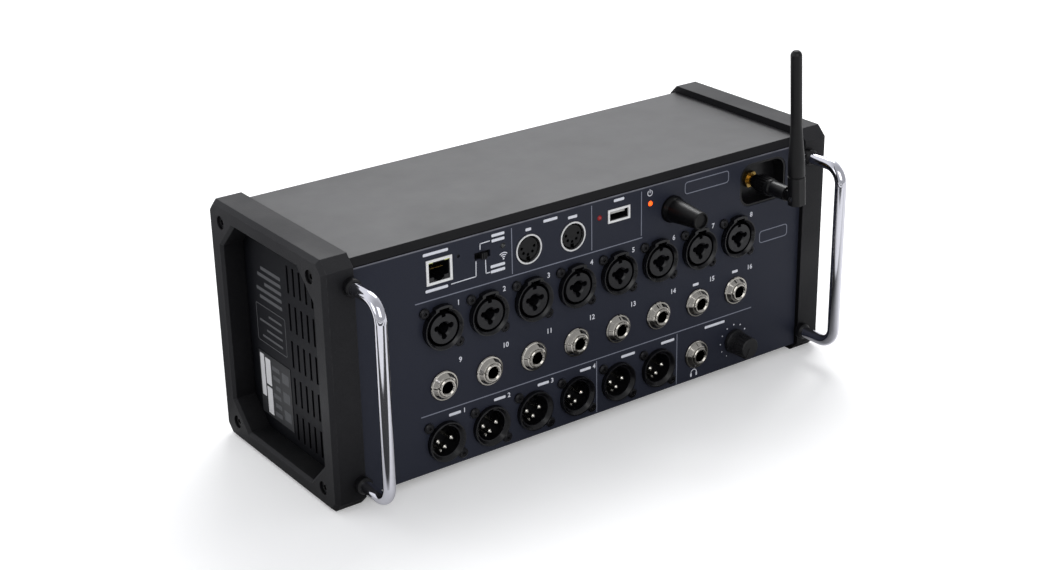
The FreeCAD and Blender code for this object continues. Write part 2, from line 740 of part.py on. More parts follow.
# ---- combination sockets -----------------------------------------------------------------------
def combo_collars():
    overall = "combo_proud+combo_depth"
    # a raised tab on the top of the collar, cut from a wider disc
    tab = common(rod("combo_outer+1.6", "combo_proud-0.1", FIRST, "-combo_proud", "combo_z"),
                 box(10.0, "combo_proud-0.1", 14.0, FIRST + "-5", "-combo_proud", "combo_z"))
    collar = fuse(rod("combo_outer", overall, FIRST, "-combo_proud", "combo_z"), tab)
    collar = cut(
        collar,
        rod("combo_inner", overall + "-2", FIRST, "-combo_proud-0.1", "combo_z"),
        rod("combo_disc+0.05", 6.0, FIRST, "combo_depth-4", "combo_z"),
        cone("combo_outer-0.5", "combo_inner", 1.3, FIRST, "-combo_proud-0.01", "combo_z"),
        box(6.0, 9.0, 3.4, FIRST + "-3", "-combo_proud-0.1", "combo_z+combo_disc"))
    group("combo_collars", [collar], COMBO_SPOTS)


def combo_inserts():
    bore_radius, bore_long = 1.55, 14.0
    # contact bores: offset across, offset up
    bores = [(-4.3, 1.1), (4.3, 1.1), (0.0, -4.2)]
    disc = rod("combo_disc", "combo_depth+2.3", FIRST, "-2.4", "combo_z")
    disc = cut(
        disc,
        rod("plug_hole", "combo_depth", FIRST, "-3", "combo_z"),
        *[rod(bore_radius, bore_long, f"{FIRST}{across:+}", "-3", f"combo_z{up:+}")
          for across, up in bores],
        box(2.4, bore_long, 4.0, FIRST + "-1.2", "-3", "combo_z+combo_disc-1.6"),
        cone("plug_hole+0.9", "plug_hole", 0.9, FIRST, "-2.41", "combo_z"))
    group("combo_inserts", [disc], COMBO_SPOTS)


def ear_screws(name, row, spots):
    """the pairs of fixing screws of one row of sockets"""
    screws = []
    for x, z in ear_centres(FIRST, row):
        solid = fuse(rod("ear_head", 1.0, x, -1.02, z),
                     cone("ear_head-0.8", "ear_head", 0.6, x, -1.62, z),
                     rod("ear_shank", 8.0, x, -0.5, z))
        screws.append(cut(solid, rod(0.95, 0.9, x, -1.7, z)))
    group(name, screws, spots)


combo_collars()
combo_inserts()
ear_screws("combo_screws", "combo_z", COMBO_SPOTS)

# ---- line jacks and phones jack ----------------------------------------------------------------
JACK_SPOTS = COMBO_SPOTS + [(size("phones_x") - size("col_first"), 0,
                             size("out_z") - size("jack_z"))]
# profiles: radius, y
BUSHING = [
    ("plug_hole", "-bush_proud+0.7"), ("plug_hole+0.7", "-bush_proud"),
    ("bush_radius-0.5", "-bush_proud"), ("bush_radius", "-bush_proud+0.5"),
    ("bush_radius", -2.6), (4.7, -2.5), (4.7, 2.0), (6.6, 2.0), (6.6, 3.6),
    ("bush_radius", 3.6), ("bush_radius", 9.0), ("plug_hole", 9.0),
]
FLANGE_NUT = [
    ("jack_hole", -0.02), ("nut_radius", -0.02), ("nut_radius", -0.8),
    ("nut_radius-0.4", -1.3), ("nut_radius-1.0", -1.35), ("bush_radius+0.9", -3.3),
    ("bush_radius+0.25", -3.6), ("bush_radius+0.05", -3.6), ("bush_radius+0.05", -2.4),
    ("jack_hole", -2.4),
]
group("jack_bushings", [turned("bushing_master", BUSHING, FIRST, 0.0, "jack_z")], JACK_SPOTS)
group("jack_nuts", [turned("nut_master", FLANGE_NUT, FIRST, 0.0, "jack_z")], JACK_SPOTS)
jack_body = cut(centred(14.6, 19.0, 14.6, FIRST, 3.65, "jack_z"),
                rod("bush_radius+0.05", 5.4, FIRST, 3.6, "jack_z"),
                rod("plug_hole", 12.5, FIRST, 8.9, "jack_z"))
group("jack_bodies", [jack_body], JACK_SPOTS)


# ---- output connectors -------------------------------------------------------------------------
def xlr_collars():
    overall = "xlr_proud+combo_depth"
    collar = cut(
        rod("xlr_outer", overall, FIRST, "-xlr_proud", "out_z"),
        rod("xlr_inner", overall + "+2", FIRST, "-xlr_proud-1", "out_z"),
        cone("xlr_outer-0.7", "xlr_inner+0.4", 1.9, FIRST, "-xlr_proud-0.01", "out_z"),
        box(3.0, 7.0, 2.0, FIRST + "-1.5", "-xlr_proud-0.1", "out_z+xlr_inner-0.4"))
    group("xlr_collars", [collar], XLR_SPOTS)


def xlr_inserts():
    insert = rod("xlr_inner-0.02", "combo_depth-xlr_floor-1", FIRST, "xlr_floor", "out_z")
    for across, up, radius in XLR_CONTACTS:
        insert = cut(insert, rod(radius + "+0.02", 20.0, FIRST + across, "xlr_floor-2",
                                 "out_z" + up))
    group("xlr_inserts", [insert], XLR_SPOTS)


def xlr_pins():
    pin_front, pin_long = 1.0, 24.0
    tip_radius, tip_long = 0.45, 0.8
    pins = []
    for across, up, radius in XLR_CONTACTS:
        x, z = FIRST + across, "out_z" + up
        pins.append(fuse(rod(radius, pin_long, x, pin_front, z),
                         cone(radius, tip_radius, tip_long, x, pin_front, z, "-Y")))
    group("xlr_pins", pins, XLR_SPOTS)


xlr_collars()
xlr_inserts()
xlr_pins()
ear_screws("xlr_screws", "out_z", XLR_SPOTS)


# ---- round data sockets ------------------------------------------------------------------------
def data_sockets():
    spots = [(0, 0, 0), (size("din_out_x") - size("din_in_x"), 0, 0)]
    ring = cut(rod("din_outer", 12.5, "din_in_x", -0.5, "din_z"),
               rod("din_inner", 14.0, "din_in_x", -1.0, "din_z"))
    group("data_socket_shells", [ring], spots)

    # a ring groove, five contact holes on a lower half circle, and a notch at the bottom
    slot_long = 8.0
    contact_radius, contact_circle = 0.85, 4.0
    slots = [cut(rod(6.8, slot_long, "din_in_x", 0.0, "din_z"),
                 rod(6.2, 9.0, "din_in_x", -0.5, "din_z"))]
    for i in range(5):
        x, z = on_circle("din_in_x", "din_z+0.8", contact_circle, -45 * i)
        slots.append(rod(contact_radius, slot_long, x, 0.0, z))
    slots.append(box(2.2, slot_long, 3.0, "din_in_x-1.1", 0.0, "din_z-7.3"))
    face = rod("din_inner-0.05", 11.0, "din_in_x", 0.6, "din_z")
    group("data_socket_inserts", [cut(face, *slots)], spots)


data_sockets()

# ---- serial bus socket: flange, tube, and the tongue inside ------------------------------------
shell = fuse(centred(15.0, 0.6, 7.6, "usb_x", -0.3, "usb_z"),
             centred(13.6, 14.0, 6.2, "usb_x", 0.2, "usb_z"))
node(cut(shell, centred(12.6, 13.6, 5.2, "usb_x", -0.5, "usb_z")), "usb_socket_shell")
node(box(11.0, 11.0, 1.9, "usb_x-5.5", 2.05, "usb_z+0.3"), "usb_socket_tongue")


# ---- network socket ----------------------------------------------------------------------------
def network_shell():
    """a square tube with an inward lip round its front"""
    def outline(inset, deep, y):
        return centred(f"lan_wide-{inset}", deep, f"lan_tall-{inset}", "lan_x", y, "lan_z")

    tube = cut(outline(0, 18.0, -0.4), outline(1.6, 20.0, -1.0))
    lip = cut(outline(0, 0.5, -0.4), outline(2.8, 2.0, -1.0))
    node(fuse(tube, lip), "network_socket_shell")


def network_insert():
    # stepped plug opening: width, height, bottom from the socket's middle
    steps = [(11.8, 7.6, -3.0), (6.2, 2.0, -4.6), (3.4, 1.6, -5.7)]
    insert = cut(centred("lan_wide-1.8", 17.0, "lan_tall-1.8", "lan_x", 0.2, "lan_z"),
                 *[box(wide, 13.0, tall, f"lan_x-{wide}/2", -0.5, f"lan_z{low:+}")
                   for wide, tall, low in steps])
    contacts = [box(0.5, 6.0, 0.8, x, 2.0, "lan_z+4.0") for x in series("lan_x-4.2", "1.2", 8)]
    node(fuse(insert, *contacts), "network_socket_insert")


network_shell()
network_insert()

# ---- mode switch -------------------------------------------------------------------------------
switch = cut(centred(13.0, 6.0, 6.4, "mode_x", "panel_thick+0.05", "mode_z"),
             centred(9.7, 3.2, 3.7, "mode_x", "panel_thick", "mode_z"))
node(switch, "mode_switch_body")
# tab with a wider foot and two finger grooves across its face
slider = fuse(centred(3.4, 4.6, 3.3, "mode_x", -2.0, "mode_z"),
              centred(4.4, 1.3, 3.3, "mode_x", 2.6, "mode_z"))
grooves = [box(0.5, 0.5, 4.0, x, -2.1, "mode_z-2") for x in ("mode_x-1.0", "mode_x+0.5")]
node(cut(slider, *grooves), "mode_switch_slider")

# ---- recessed reset button ---------------------------------------------------------------------
node(cut(centred(6.0, 6.0, 6.0, "reset_x", "panel_thick+0.6", "reset_z"),
         rod(0.85, 3.0, "reset_x", "panel_thick", "reset_z")), "reset_switch_body")
node(fuse(rod(0.8, 2.0, "reset_x", 0.9, "reset_z"),
          cone(0.8, 0.5, 0.3, "reset_x", 0.9, "reset_z", "-Y")), "reset_button")

# ---- status lamps ------------------------------------------------------------------------------
# profile: radius, y
LAMP = [
    (0.0, -0.8), (0.6, -0.7), ("led_radius-0.35", -0.4), ("led_radius", 0.2),
    ("led_radius", "panel_thick+0.05"), (1.9, "panel_thick+0.05"), (1.9, 2.6),
    ("led_radius", 2.6), ("led_radius", 5.6), (0.0, 5.6),
]
for name in ("power_led", "usb_led", "wifi_led"):
    node(turned(name, LAMP, name + "_x", 0.0, "led_z"), name)

# ---- phones level control ----------------------------------------------------------------------
# The dial stands at its lowest setting, seven o'clock seen from the front.
DIAL_TURN = -150
# profile: radius, y
KNOB = [
    (0.0, "-dial_long-0.8"), ("dial_face-0.5", "-dial_long-0.8"),
    ("dial_face", "-dial_long-0.3"), ("dial_face+0.35", -5.2), ("dial_base-0.4", -3.6),
    ("dial_base", -2.8), ("dial_base", -0.8), (5.4, -0.8), (5.4, -2.6), (3.05, -2.6),
    (3.05, -10.95), (0.0, -10.95),
]


def dial_rod(radius, length, y):
    return rod(radius, length, "dial_x", y, "dial_z")


def turned_shaft():
    shaft = cut(dial_rod("shaft_radius", 19.5, -10.9),
                box(6.4, 8.0, 2.0, "dial_x-3.2", -11.0, "dial_z+1.5"))
    shaft.Label = "shaft_unturned"
    return shaft


def knob():
    body = turned("knob_master", KNOB, "dial_x", 0.0, "dial_z")
    # fills the bore above the flat of the shaft
    flat = common(box(8.0, 8.1, 2.4, "dial_x-4", -11.25, "dial_z+1.55"),
                  dial_rod(3.5, 8.6, -11.25))
    grooves = []
    for i in range(1, 14):
        x, z = on_circle("dial_x", "dial_z", size("dial_face") + 0.3, 90 - (24 * i + 12))
        grooves.append(rod(0.55, 8.4, x, "-dial_long-1", z))
    # pointer: a ridge along the side and a line on the face
    pointer_wide = 1.3
    ridge = box(pointer_wide, "dial_long-1", 1.2,
                "dial_x-0.65", "-dial_long-1.05", "dial_z+dial_face-0.5")
    line = box(pointer_wide, 0.8, "dial_face-0.6", "dial_x-0.65", "-dial_long-1.2", "dial_z")
    pointer = common(fuse(ridge, line),
                     dial_rod("dial_face+0.75", "dial_long+2", "-dial_long-2"))
    return fuse(cut(fuse(body, flat), *grooves), pointer)


pot = cut(fuse(centred(14.0, 7.5, 14.0, "dial_x", "panel_thick+0.1", "dial_z"),
               dial_rod(3.55, 2.2, -0.4)),
          dial_rod("shaft_radius+0.05", 12.0, -1.0))
node(pot, "phones_pot_body")
for name, source in (("phones_pot_shaft", turned_shaft()), ("phones_knob", knob())):
    doc.recompute()
    shape = source.Shape.copy()
    shape.rotate(Vector(size("dial_x"), 0, size("dial_z")), Vector(0, 1, 0), DIAL_TURN)
    shape_node(name, shape)


# ---- antenna recess cup, socket and antenna ----------------------------------------------------
def cup_slab(grow, y, thick):
    """rounded block across the panel, with the recess outline grown by the given amount"""
    wide, tall, corner = f"cup_wide+2*({grow})", f"cup_tall+2*({grow})", f"cup_round+({grow})"
    pieces = [centred(f"{wide}-2*({corner})", thick, tall, "cup_x", y, "cup_z"),
              centred(wide, thick, f"{tall}-2*({corner})", "cup_x", y, "cup_z")]
    for across in "-+":
        for up in "-+":
            pieces.append(rod(corner, thick, f"cup_x{across}(({wide})/2-({corner}))", y,
                              f"cup_z{up}(({tall})/2-({corner}))"))
    return fuse(*pieces)


def swivel_rod(radius, length, y):
    return rod(radius, length, "ant_x", y, "ant_z")


def antenna_cup():
    """cup with a flange behind the panel"""
    outer = fuse(cup_slab("0-0.15", 0.3, "cup_deep+cup_wall-0.3"),
                 cup_slab("1", "panel_thick+0.05", 1.2))
    inner = cup_slab("0-0.15-cup_wall", -1.0, "cup_deep+1")
    node(cut(outer, inner, swivel_rod(3.3, 6.0, "cup_deep-2")), "antenna_cup")


def bulkhead_jack():
    jack = fuse(swivel_rod(3.15, 16.0, 2.0),
                swivel_rod(4.2, 1.6, "cup_deep+cup_wall+0.05"),
                swivel_rod(2.2, 3.0, 17.5))
    node(cut(jack, swivel_rod(1.6, 9.0, 1.0)), "antenna_bulkhead_jack")


def bulkhead_nut():
    """hexagon nut in front of the cup floor"""
    corner_radius = 5.0
    angles = [math.radians(60 * i) for i in range(6)]
    hexagon = [(corner_radius * math.cos(a), corner_radius * math.sin(a)) for a in angles]
    nut = padded("nut_hex", "XZ_Plane", "-cup_deep+0.05", hexagon, 2.4)
    pocket(nut, "XZ_Plane", "-cup_deep-1", 8.0, [(0.0, 0.0, 3.2)], reverse=True)
    place(nut, "ant_x", 0.0, "ant_z")
    node(nut, "antenna_bulkhead_nut")


def antenna_coupling():
    """ribbed sleeve that screws onto the bulkhead jack"""
    barrel = fuse(swivel_rod("coupling_radius", "-coupling_front-1.0", "coupling_front+1"),
                  cone("coupling_radius-0.6", "coupling_radius", 1.0,
                       "ant_x", "coupling_front", "ant_z"))
    ribs = []
    for i in range(20):
        x, z = on_circle("ant_x", "ant_z", size("coupling_radius"), 18 * i)
        ribs.append(rod(0.42, 8.0, x, "coupling_front+3", z))
    sleeve = cut(fuse(barrel, *ribs), swivel_rod(2.55, 30.0, -20.0), swivel_rod(3.2, 6.5, -4.5))
    skirt = cut(swivel_rod(4.1, 3.2, -0.2), swivel_rod(3.2, 5.0, -1.0))
    node(fuse(sleeve, skirt), "antenna_coupling")


def antenna_stem():
    """stem with a flat tongue; it swivels in the coupling sleeve"""
    stem = fuse(swivel_rod(2.5, 6.5, "coupling_front-0.2"),
                swivel_rod("stem_radius", "coupling_front-0.06-(tilt_y+7)", "tilt_y+7"),
                centred("2*tongue_half", 8.0, 6.0, "ant_x", "tilt_y", "ant_z"),
                rod(3.6, "2*tongue_half", "ant_x-tongue_half", "tilt_y", "ant_z", "X"))
    bore = rod("hinge_pin+0.02", 12.0, "ant_x-6", "tilt_y", "ant_z", "X")
    node(cut(stem, bore), "antenna_stem")


def antenna_whip():
    """a square block whose ears straddle the tongue, and a tapered sleeve with a round tip"""
    seam = "whip_seam-ant_z"
    tip = "whip_tip-ant_z"
    # profile: radius, height above the tilt axis
    profile = [
        (0.0, seam + "-3"), (4.1, seam + "-3"), (4.1, seam + "+0.3"),
        ("knuckle_radius", seam + "+0.6"), ("knuckle_radius", seam + "+8"),
        ("whip_radius+0.3", seam + "+24"), ("whip_radius", seam + "+30"),
        ("whip_radius", tip + "-2.4"), ("whip_radius-0.5", tip + "-1.2"),
        ("whip_radius-1.4", tip + "-0.3"), (1.2, tip), (0.0, tip),
    ]
    sleeve = turned("whip_master", profile, "ant_x", "tilt_y", "ant_z", "XZ_Plane")
    block = common(box(9.4, 8.8, "whip_seam-0.3-(ant_z-block_low)",
                       "ant_x-4.7", "tilt_y-4.4", "ant_z-block_low"),
                   rod(4.85, 40.0, "ant_x", "tilt_y", "ant_z-20", "Z"))
    slot = box("2*tongue_half+0.12", 9.0, "block_low+4.02",
               "ant_x-tongue_half-0.06", "tilt_y-3.72", "ant_z-block_low-0.3")
    bore = rod("hinge_pin+0.05", 12.0, "ant_x-6", "tilt_y", "ant_z", "X")
    node(cut(fuse(sleeve, block), slot, bore), "antenna_whip")


antenna_cup()
bulkhead_jack()
bulkhead_nut()
antenna_coupling()
antenna_stem()
node(rod("hinge_pin", 8.8, "ant_x-4.4", "tilt_y", "ant_z", "X"), "antenna_hinge_pin")
antenna_whip()

# post that the folded whip lies against; profile: radius, y
REST = [
    (0.0, "-rest_long+1.1"), ("rest_tip-1.1", "-rest_long+1.1"), ("rest_tip-0.9", "-rest_long"),
    ("rest_tip-0.2", "-rest_long"), ("rest_tip", "-rest_long+0.3"),
    ("rest_tip+0.5", "-rest_long+7"), ("rest_base-0.9", -4.0), ("rest_base", -1.4),
    ("rest_base", -0.03), (2.0, -0.03), (2.0, 1.7), (3.0, 1.75), (2.2, 4.0), (0.0, 4.0),
]
node(turned("rest_master", REST, "rest_x", 0.0, "rest_z"), "antenna_rest")

# ---- boards and what they carry ----------------------------------------------------------------
# board outlines: left, low or front, right, high or back
INPUT_BOARD = (-118.0, 8.5, 116.0, 100.0)
MAIN_BOARD = (-116.0, 4.0, 95.0, 98.0)
SUPPLY_BOARD = (30.0, 36.0, 134.0, 106.0)
SUPPLY_TOP = "supply_board_z+board_thick+0.02"
MAIN_TOP = "main_board_z+board_thick"
FLOOR_TOP = "panel_low+sheet_thick"

board = padded("input_board", "XZ_Plane", "-input_board_y", rectangle(*INPUT_BOARD),
               "board_thick", reverse=True)
pocket(board, "XZ_Plane", "-input_board_y+1", 4.0,
       [(column + across, "out_z" + up, 1.3)
        for column in OUT_COLUMNS for across, up, radius in XLR_CONTACTS])
node(board, "input_board")
node(padded("main_board", "XY_Plane", "main_board_z", rectangle(*MAIN_BOARD), "board_thick"),
     "main_board")
node(padded("power_supply_board", "XY_Plane", "supply_board_z", rectangle(*SUPPLY_BOARD),
            "board_thick"), "power_supply_board")

# transformer: wide blocks below and above a narrower one
node(fuse(box(36.0, 30.0, 8.0, 44.0, 62.0, SUPPLY_TOP),
          box(28.0, 24.0, 18.0, 48.0, 65.0, SUPPLY_TOP),
          box(36.0, 30.0, 8.0, 44.0, 62.0, SUPPLY_TOP + "+18")), "transformer")
capacitor = fuse(rod(8.0, 27.0, 46.0, 48.0, SUPPLY_TOP, "Z"),
                 cone(8.0, 7.2, 0.8, 46.0, 48.0, SUPPLY_TOP + "+27", "Z"))
group("filter_capacitors", [capacitor], [(0, 0, 0), (19, 0, 0)])
fins = [box(9.0, 1.6, 34.0, 92.5, y, SUPPLY_TOP) for y in series("45.0", "6.0", 10)]
node(fuse(box(3.0, 56.0, 36.0, 90.0, 44.0, SUPPLY_TOP), *fins), "heat_sink")
# radio module: its own board, a can and the round aerial connector
node(fuse(box(28.0, 20.0, 1.2, 60.0, 40.0, MAIN_TOP + "+0.02"),
          box(22.0, 15.0, 2.2, 62.0, 42.5, MAIN_TOP + "+1.2"),
          rod(1.5, 1.6, 86.0, 44.0, MAIN_TOP + "+1.2", "Z")), "wifi_module")


def board_standoffs():
    """four posts under the supply board and two tall ones under the main board"""
    radius = 3.0
    short = rod(radius, f"supply_board_z-({FLOOR_TOP})-0.04", 34.0, 40.0, FLOOR_TOP + "+0.02", "Z")
    tall = rod(radius, f"main_board_z-({FLOOR_TOP})-0.04", -112.0, 94.0, FLOOR_TOP + "+0.02", "Z")
    posts = copies([short], [(0, 0, 0), (96, 0, 0), (0, 62, 0), (96, 62, 0)])
    posts += copies([tall], [(0, 0, 0), (100, 0, 0)])
    shape_node("board_standoffs", Part.makeCompound(posts))


board_standoffs()


# ---- wiring loom -------------------------------------------------------------------------------
def lead(points, radius):
    """a round wire swept along a smooth path"""
    path = [Vector(*point) for point in points]
    curve = Part.BSplineCurve()
    curve.interpolate(path)
    spine = Part.Wire([curve.toShape()])
    tangent = curve.tangent(curve.FirstParameter)[0]
    ring = Part.Wire([Part.makeCircle(radius, path[0], tangent)])
    return spine.makePipeShell([ring], True, True)


def ribbon_cable():
    """L-shaped strip from the back of the socket board up to the main board"""
    left, wide = -20, 40
    board_back = size("input_board_y") + size("board_thick")
    top = size("main_board_z") - 0.05
    # section: y, z
    section = [(board_back + 0.05, 62), (board_back + 14, 62), (board_back + 14, top),
               (board_back + 13, top), (board_back + 13, 63), (board_back + 0.05, 63),
               (board_back + 0.05, 62)]
    outline = Part.makePolygon([Vector(left, y, z) for y, z in section])
    return Part.Face(outline).extrude(Vector(wide, 0, 0))


def aerial_lead():
    x, z = size("ant_x"), size("ant_z")
    return lead([(x, 20.6, z), (x, 26, z), (112, 38, z - 2), (100, 44, z - 1),
                 (88.6, 44, size("main_board_z") + 4.3)], 0.9)


def mains_lead(start_y, bend_y, end_y):
    """from the inlet to the supply board; y values are offsets from the inlet's middle"""
    x, y, z = size("side_face"), size("inlet_y"), size("inlet_z")
    return lead([(x - 27.2, y + start_y, z), (x - 34, y + bend_y, z - 2), (120, y + end_y, 28),
                 (120, y + end_y, size("supply_board_z") + 2.4)], 1.1)


shape_node("wiring_loom", Part.makeCompound(
    [ribbon_cable(), aerial_lead(), mains_lead(-5, -4, -2), mains_lead(5, 6, 8)]))


# ---- mains entry on the right side plate -------------------------------------------------------
def side_block(wide, deep, tall, from_face, y, z):
    """block centred on y and z that starts at an offset from the side plate's outer face"""
    return box(wide, deep, tall, f"side_face{from_face:+}", f"{y}-{deep}/2", f"{z}-{tall}/2")


def mains_inlet():
    inlet = fuse(side_block(2.4, 31.0, 24.0, 0.03, "inlet_y", "inlet_z"),
                 side_block(24.5, 27.2, 19.8, -24.4, "inlet_y", "inlet_z"))
    inlet = cut(inlet, side_block(17.0, 24.2, 16.4, -14.0, "inlet_y", "inlet_z"))
    # blades: front edge and bottom edge from the inlet's middle
    blades = [box(14.0, 2.0, 4.0, "side_face-16.0", f"inlet_y{y:+}", f"inlet_z{z:+}")
              for y, z in ((-8.0, -3.2), (6.0, -3.2), (-1.0, 0.8))]
    node(fuse(inlet, *blades), "mains_inlet")


def mains_switch():
    body = fuse(side_block(1.8, 15.2, 21.4, 0.03, "rocker_y", "rocker_z"),
                side_block(20.0, 12.8, 19.2, -19.9, "rocker_y", "rocker_z"))
    body = cut(body, side_block(10.0, 10.8, 17.2, -7.5, "rocker_y", "rocker_z"),
               rod(1.05, 12.4, "side_face-0.2", "rocker_y-6.2", "rocker_z"))
    node(body, "mains_switch_body")


def power_rocker():
    """a shallow V that turns about an axis along Y, with pivots in the switch body's walls"""
    # section from the pivot: x, z
    section = [(3.6, 7.4), (1.2, 0.0), (1.0, -7.9), (-1.6, -8.0), (-3.0, -3.0), (-3.2, 0.0),
               (-2.2, 4.0), (0.4, 8.0), (2.4, 8.1)]
    rocker = padded("rocker_master", "XZ_Plane", -5.25, section, 10.5)
    place(rocker, "side_face-0.2", "rocker_y", "rocker_z")
    pivot = rod(1.0, 12.2, "side_face-0.2", "rocker_y-6.1", "rocker_z")
    node(fuse(rocker, pivot), "power_rocker")


mains_inlet()
mains_switch()
power_rocker()

# ---- blank rating plate on the left side plate -------------------------------------------------
node(padded("rating_plate", "YZ_Plane", "-side_face-0.32", rectangle(62.0, 17.0, 96.0, 54.0), 0.3),
     "rating_plate")

# ---- checks and export -------------------------------------------------------------------------
doc.recompute()
bad = [f"{item.Name} ({item.Label}) {item.State}" for item in doc.Objects
       if "Invalid" in item.State or "Error" in item.State]
for name, piece in EXPORT:
    if piece.Shape.isNull() or not piece.Shape.isValid() or not piece.Shape.Solids:
        bad.append("bad shape: " + name)
if bad:
    raise RuntimeError("; ".join(bad))

# these lean together about the swivel axis
LEANING = ("antenna_stem", "antenna_hinge_pin", "antenna_whip")
for name, piece in EXPORT:
    shape = piece.Shape.copy()
    if name in LEANING:
        swivel = Vector(size("ant_x"), 0, size("ant_z"))
        shape.rotate(swivel, Vector(0, 1, 0), -size("whip_lean"))
    shape.translate(Vector(0, -size("origin_y"), 0))
    solids = shape.Solids
    result = solids[0] if len(solids) == 1 else Part.makeCompound(solids)
    result.exportStep(f"parts/{name}.step")
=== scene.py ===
"""An audio connector box: print, socket details, materials, studio and camera.

The connector panel faces -Y, X runs to the right along it and Z is up.
Sizes are in millimetres unless noted, and MM turns them into metres.
"""
import json
import math

import bmesh
import bpy
from mathutils import Matrix, Vector


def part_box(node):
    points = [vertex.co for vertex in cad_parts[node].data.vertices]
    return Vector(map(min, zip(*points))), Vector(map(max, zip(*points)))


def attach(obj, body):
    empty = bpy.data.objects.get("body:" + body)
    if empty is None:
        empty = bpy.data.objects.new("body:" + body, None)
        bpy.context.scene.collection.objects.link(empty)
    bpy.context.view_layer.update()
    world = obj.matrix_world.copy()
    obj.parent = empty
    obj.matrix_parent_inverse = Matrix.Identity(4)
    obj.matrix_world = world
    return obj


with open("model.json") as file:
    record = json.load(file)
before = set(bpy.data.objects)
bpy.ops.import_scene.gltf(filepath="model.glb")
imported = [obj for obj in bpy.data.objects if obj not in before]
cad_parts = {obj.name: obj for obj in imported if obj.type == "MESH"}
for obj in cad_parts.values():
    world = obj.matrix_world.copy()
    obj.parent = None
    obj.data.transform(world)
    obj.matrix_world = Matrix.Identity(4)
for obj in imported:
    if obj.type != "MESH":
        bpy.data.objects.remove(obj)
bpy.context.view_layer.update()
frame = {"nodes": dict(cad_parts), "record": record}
NODES = frame["nodes"]
MM = 0.001
FRONT_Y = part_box("front_panel")[0].y / MM    # outer face of the connector panel
LEFT_X = -153.5                              # outer face of the left side plate
PRINT = (0.005, 0.075)                       # ink: near and far distance off the sheet
PLATE_PRINT = (0.325, 0.385)                 # the same, on the raised rating plate
COLUMNS = [-98.6 + 28.5 * i for i in range(8)]    # x of the socket columns


# ---- node materials ----------------------------------------------------------------------------
def linear(rgb):
    """sRGB 0-255 to linear RGBA."""
    parts = [value / 255.0 for value in rgb]
    return tuple(v / 12.92 if v <= 0.04045 else ((v + 0.055) / 1.055) ** 2.4
                 for v in parts) + (1.0,)


def shade(color, factor):
    return tuple(min(value * factor, 1.0) for value in color[:3]) + (1.0,)


class Graph:
    """Builds the node tree of one material or world."""

    def __init__(self, owner):
        owner.use_nodes = True
        self.tree = owner.node_tree
        self.tree.nodes.clear()

    def add(self, kind, inputs=(), **settings):
        """Add a node; each input takes a plain value or a socket to link from."""
        node = self.tree.nodes.new("ShaderNode" + kind)
        for name, value in settings.items():
            setattr(node, name, value)
        for key, value in dict(inputs).items():
            if isinstance(value, bpy.types.NodeSocket):
                self.tree.links.new(value, node.inputs[key])
            else:
                node.inputs[key].default_value = value
        return node

    def noise(self, place, scale, detail):
        return self.add("TexNoise", {"Vector": place, "Scale": scale,
                                     "Detail": detail}).outputs["Fac"]

    def remap(self, value, source, target=(0.0, 1.0), **settings):
        return self.add("MapRange", {
            "Value": value, "From Min": source[0], "From Max": source[1],
            "To Min": target[0], "To Max": target[1]}, **settings).outputs["Result"]

    def mix(self, factor, first, second):
        return self.add("Mix", {0: factor, 6: first, 7: second}, data_type="RGBA").outputs[2]

    def math(self, operation, first, second):
        return self.add("Math", {0: first, 1: second}, operation=operation).outputs[0]

    def times(self, first, second):
        return self.math("MULTIPLY", first, second)

    def axis(self, vector, name):
        return self.add("SeparateXYZ", {0: vector}).outputs[name]

    def mix_shader(self, factor, first, second):
        return self.add("MixShader", {0: factor, 1: first, 2: second}).outputs[0]


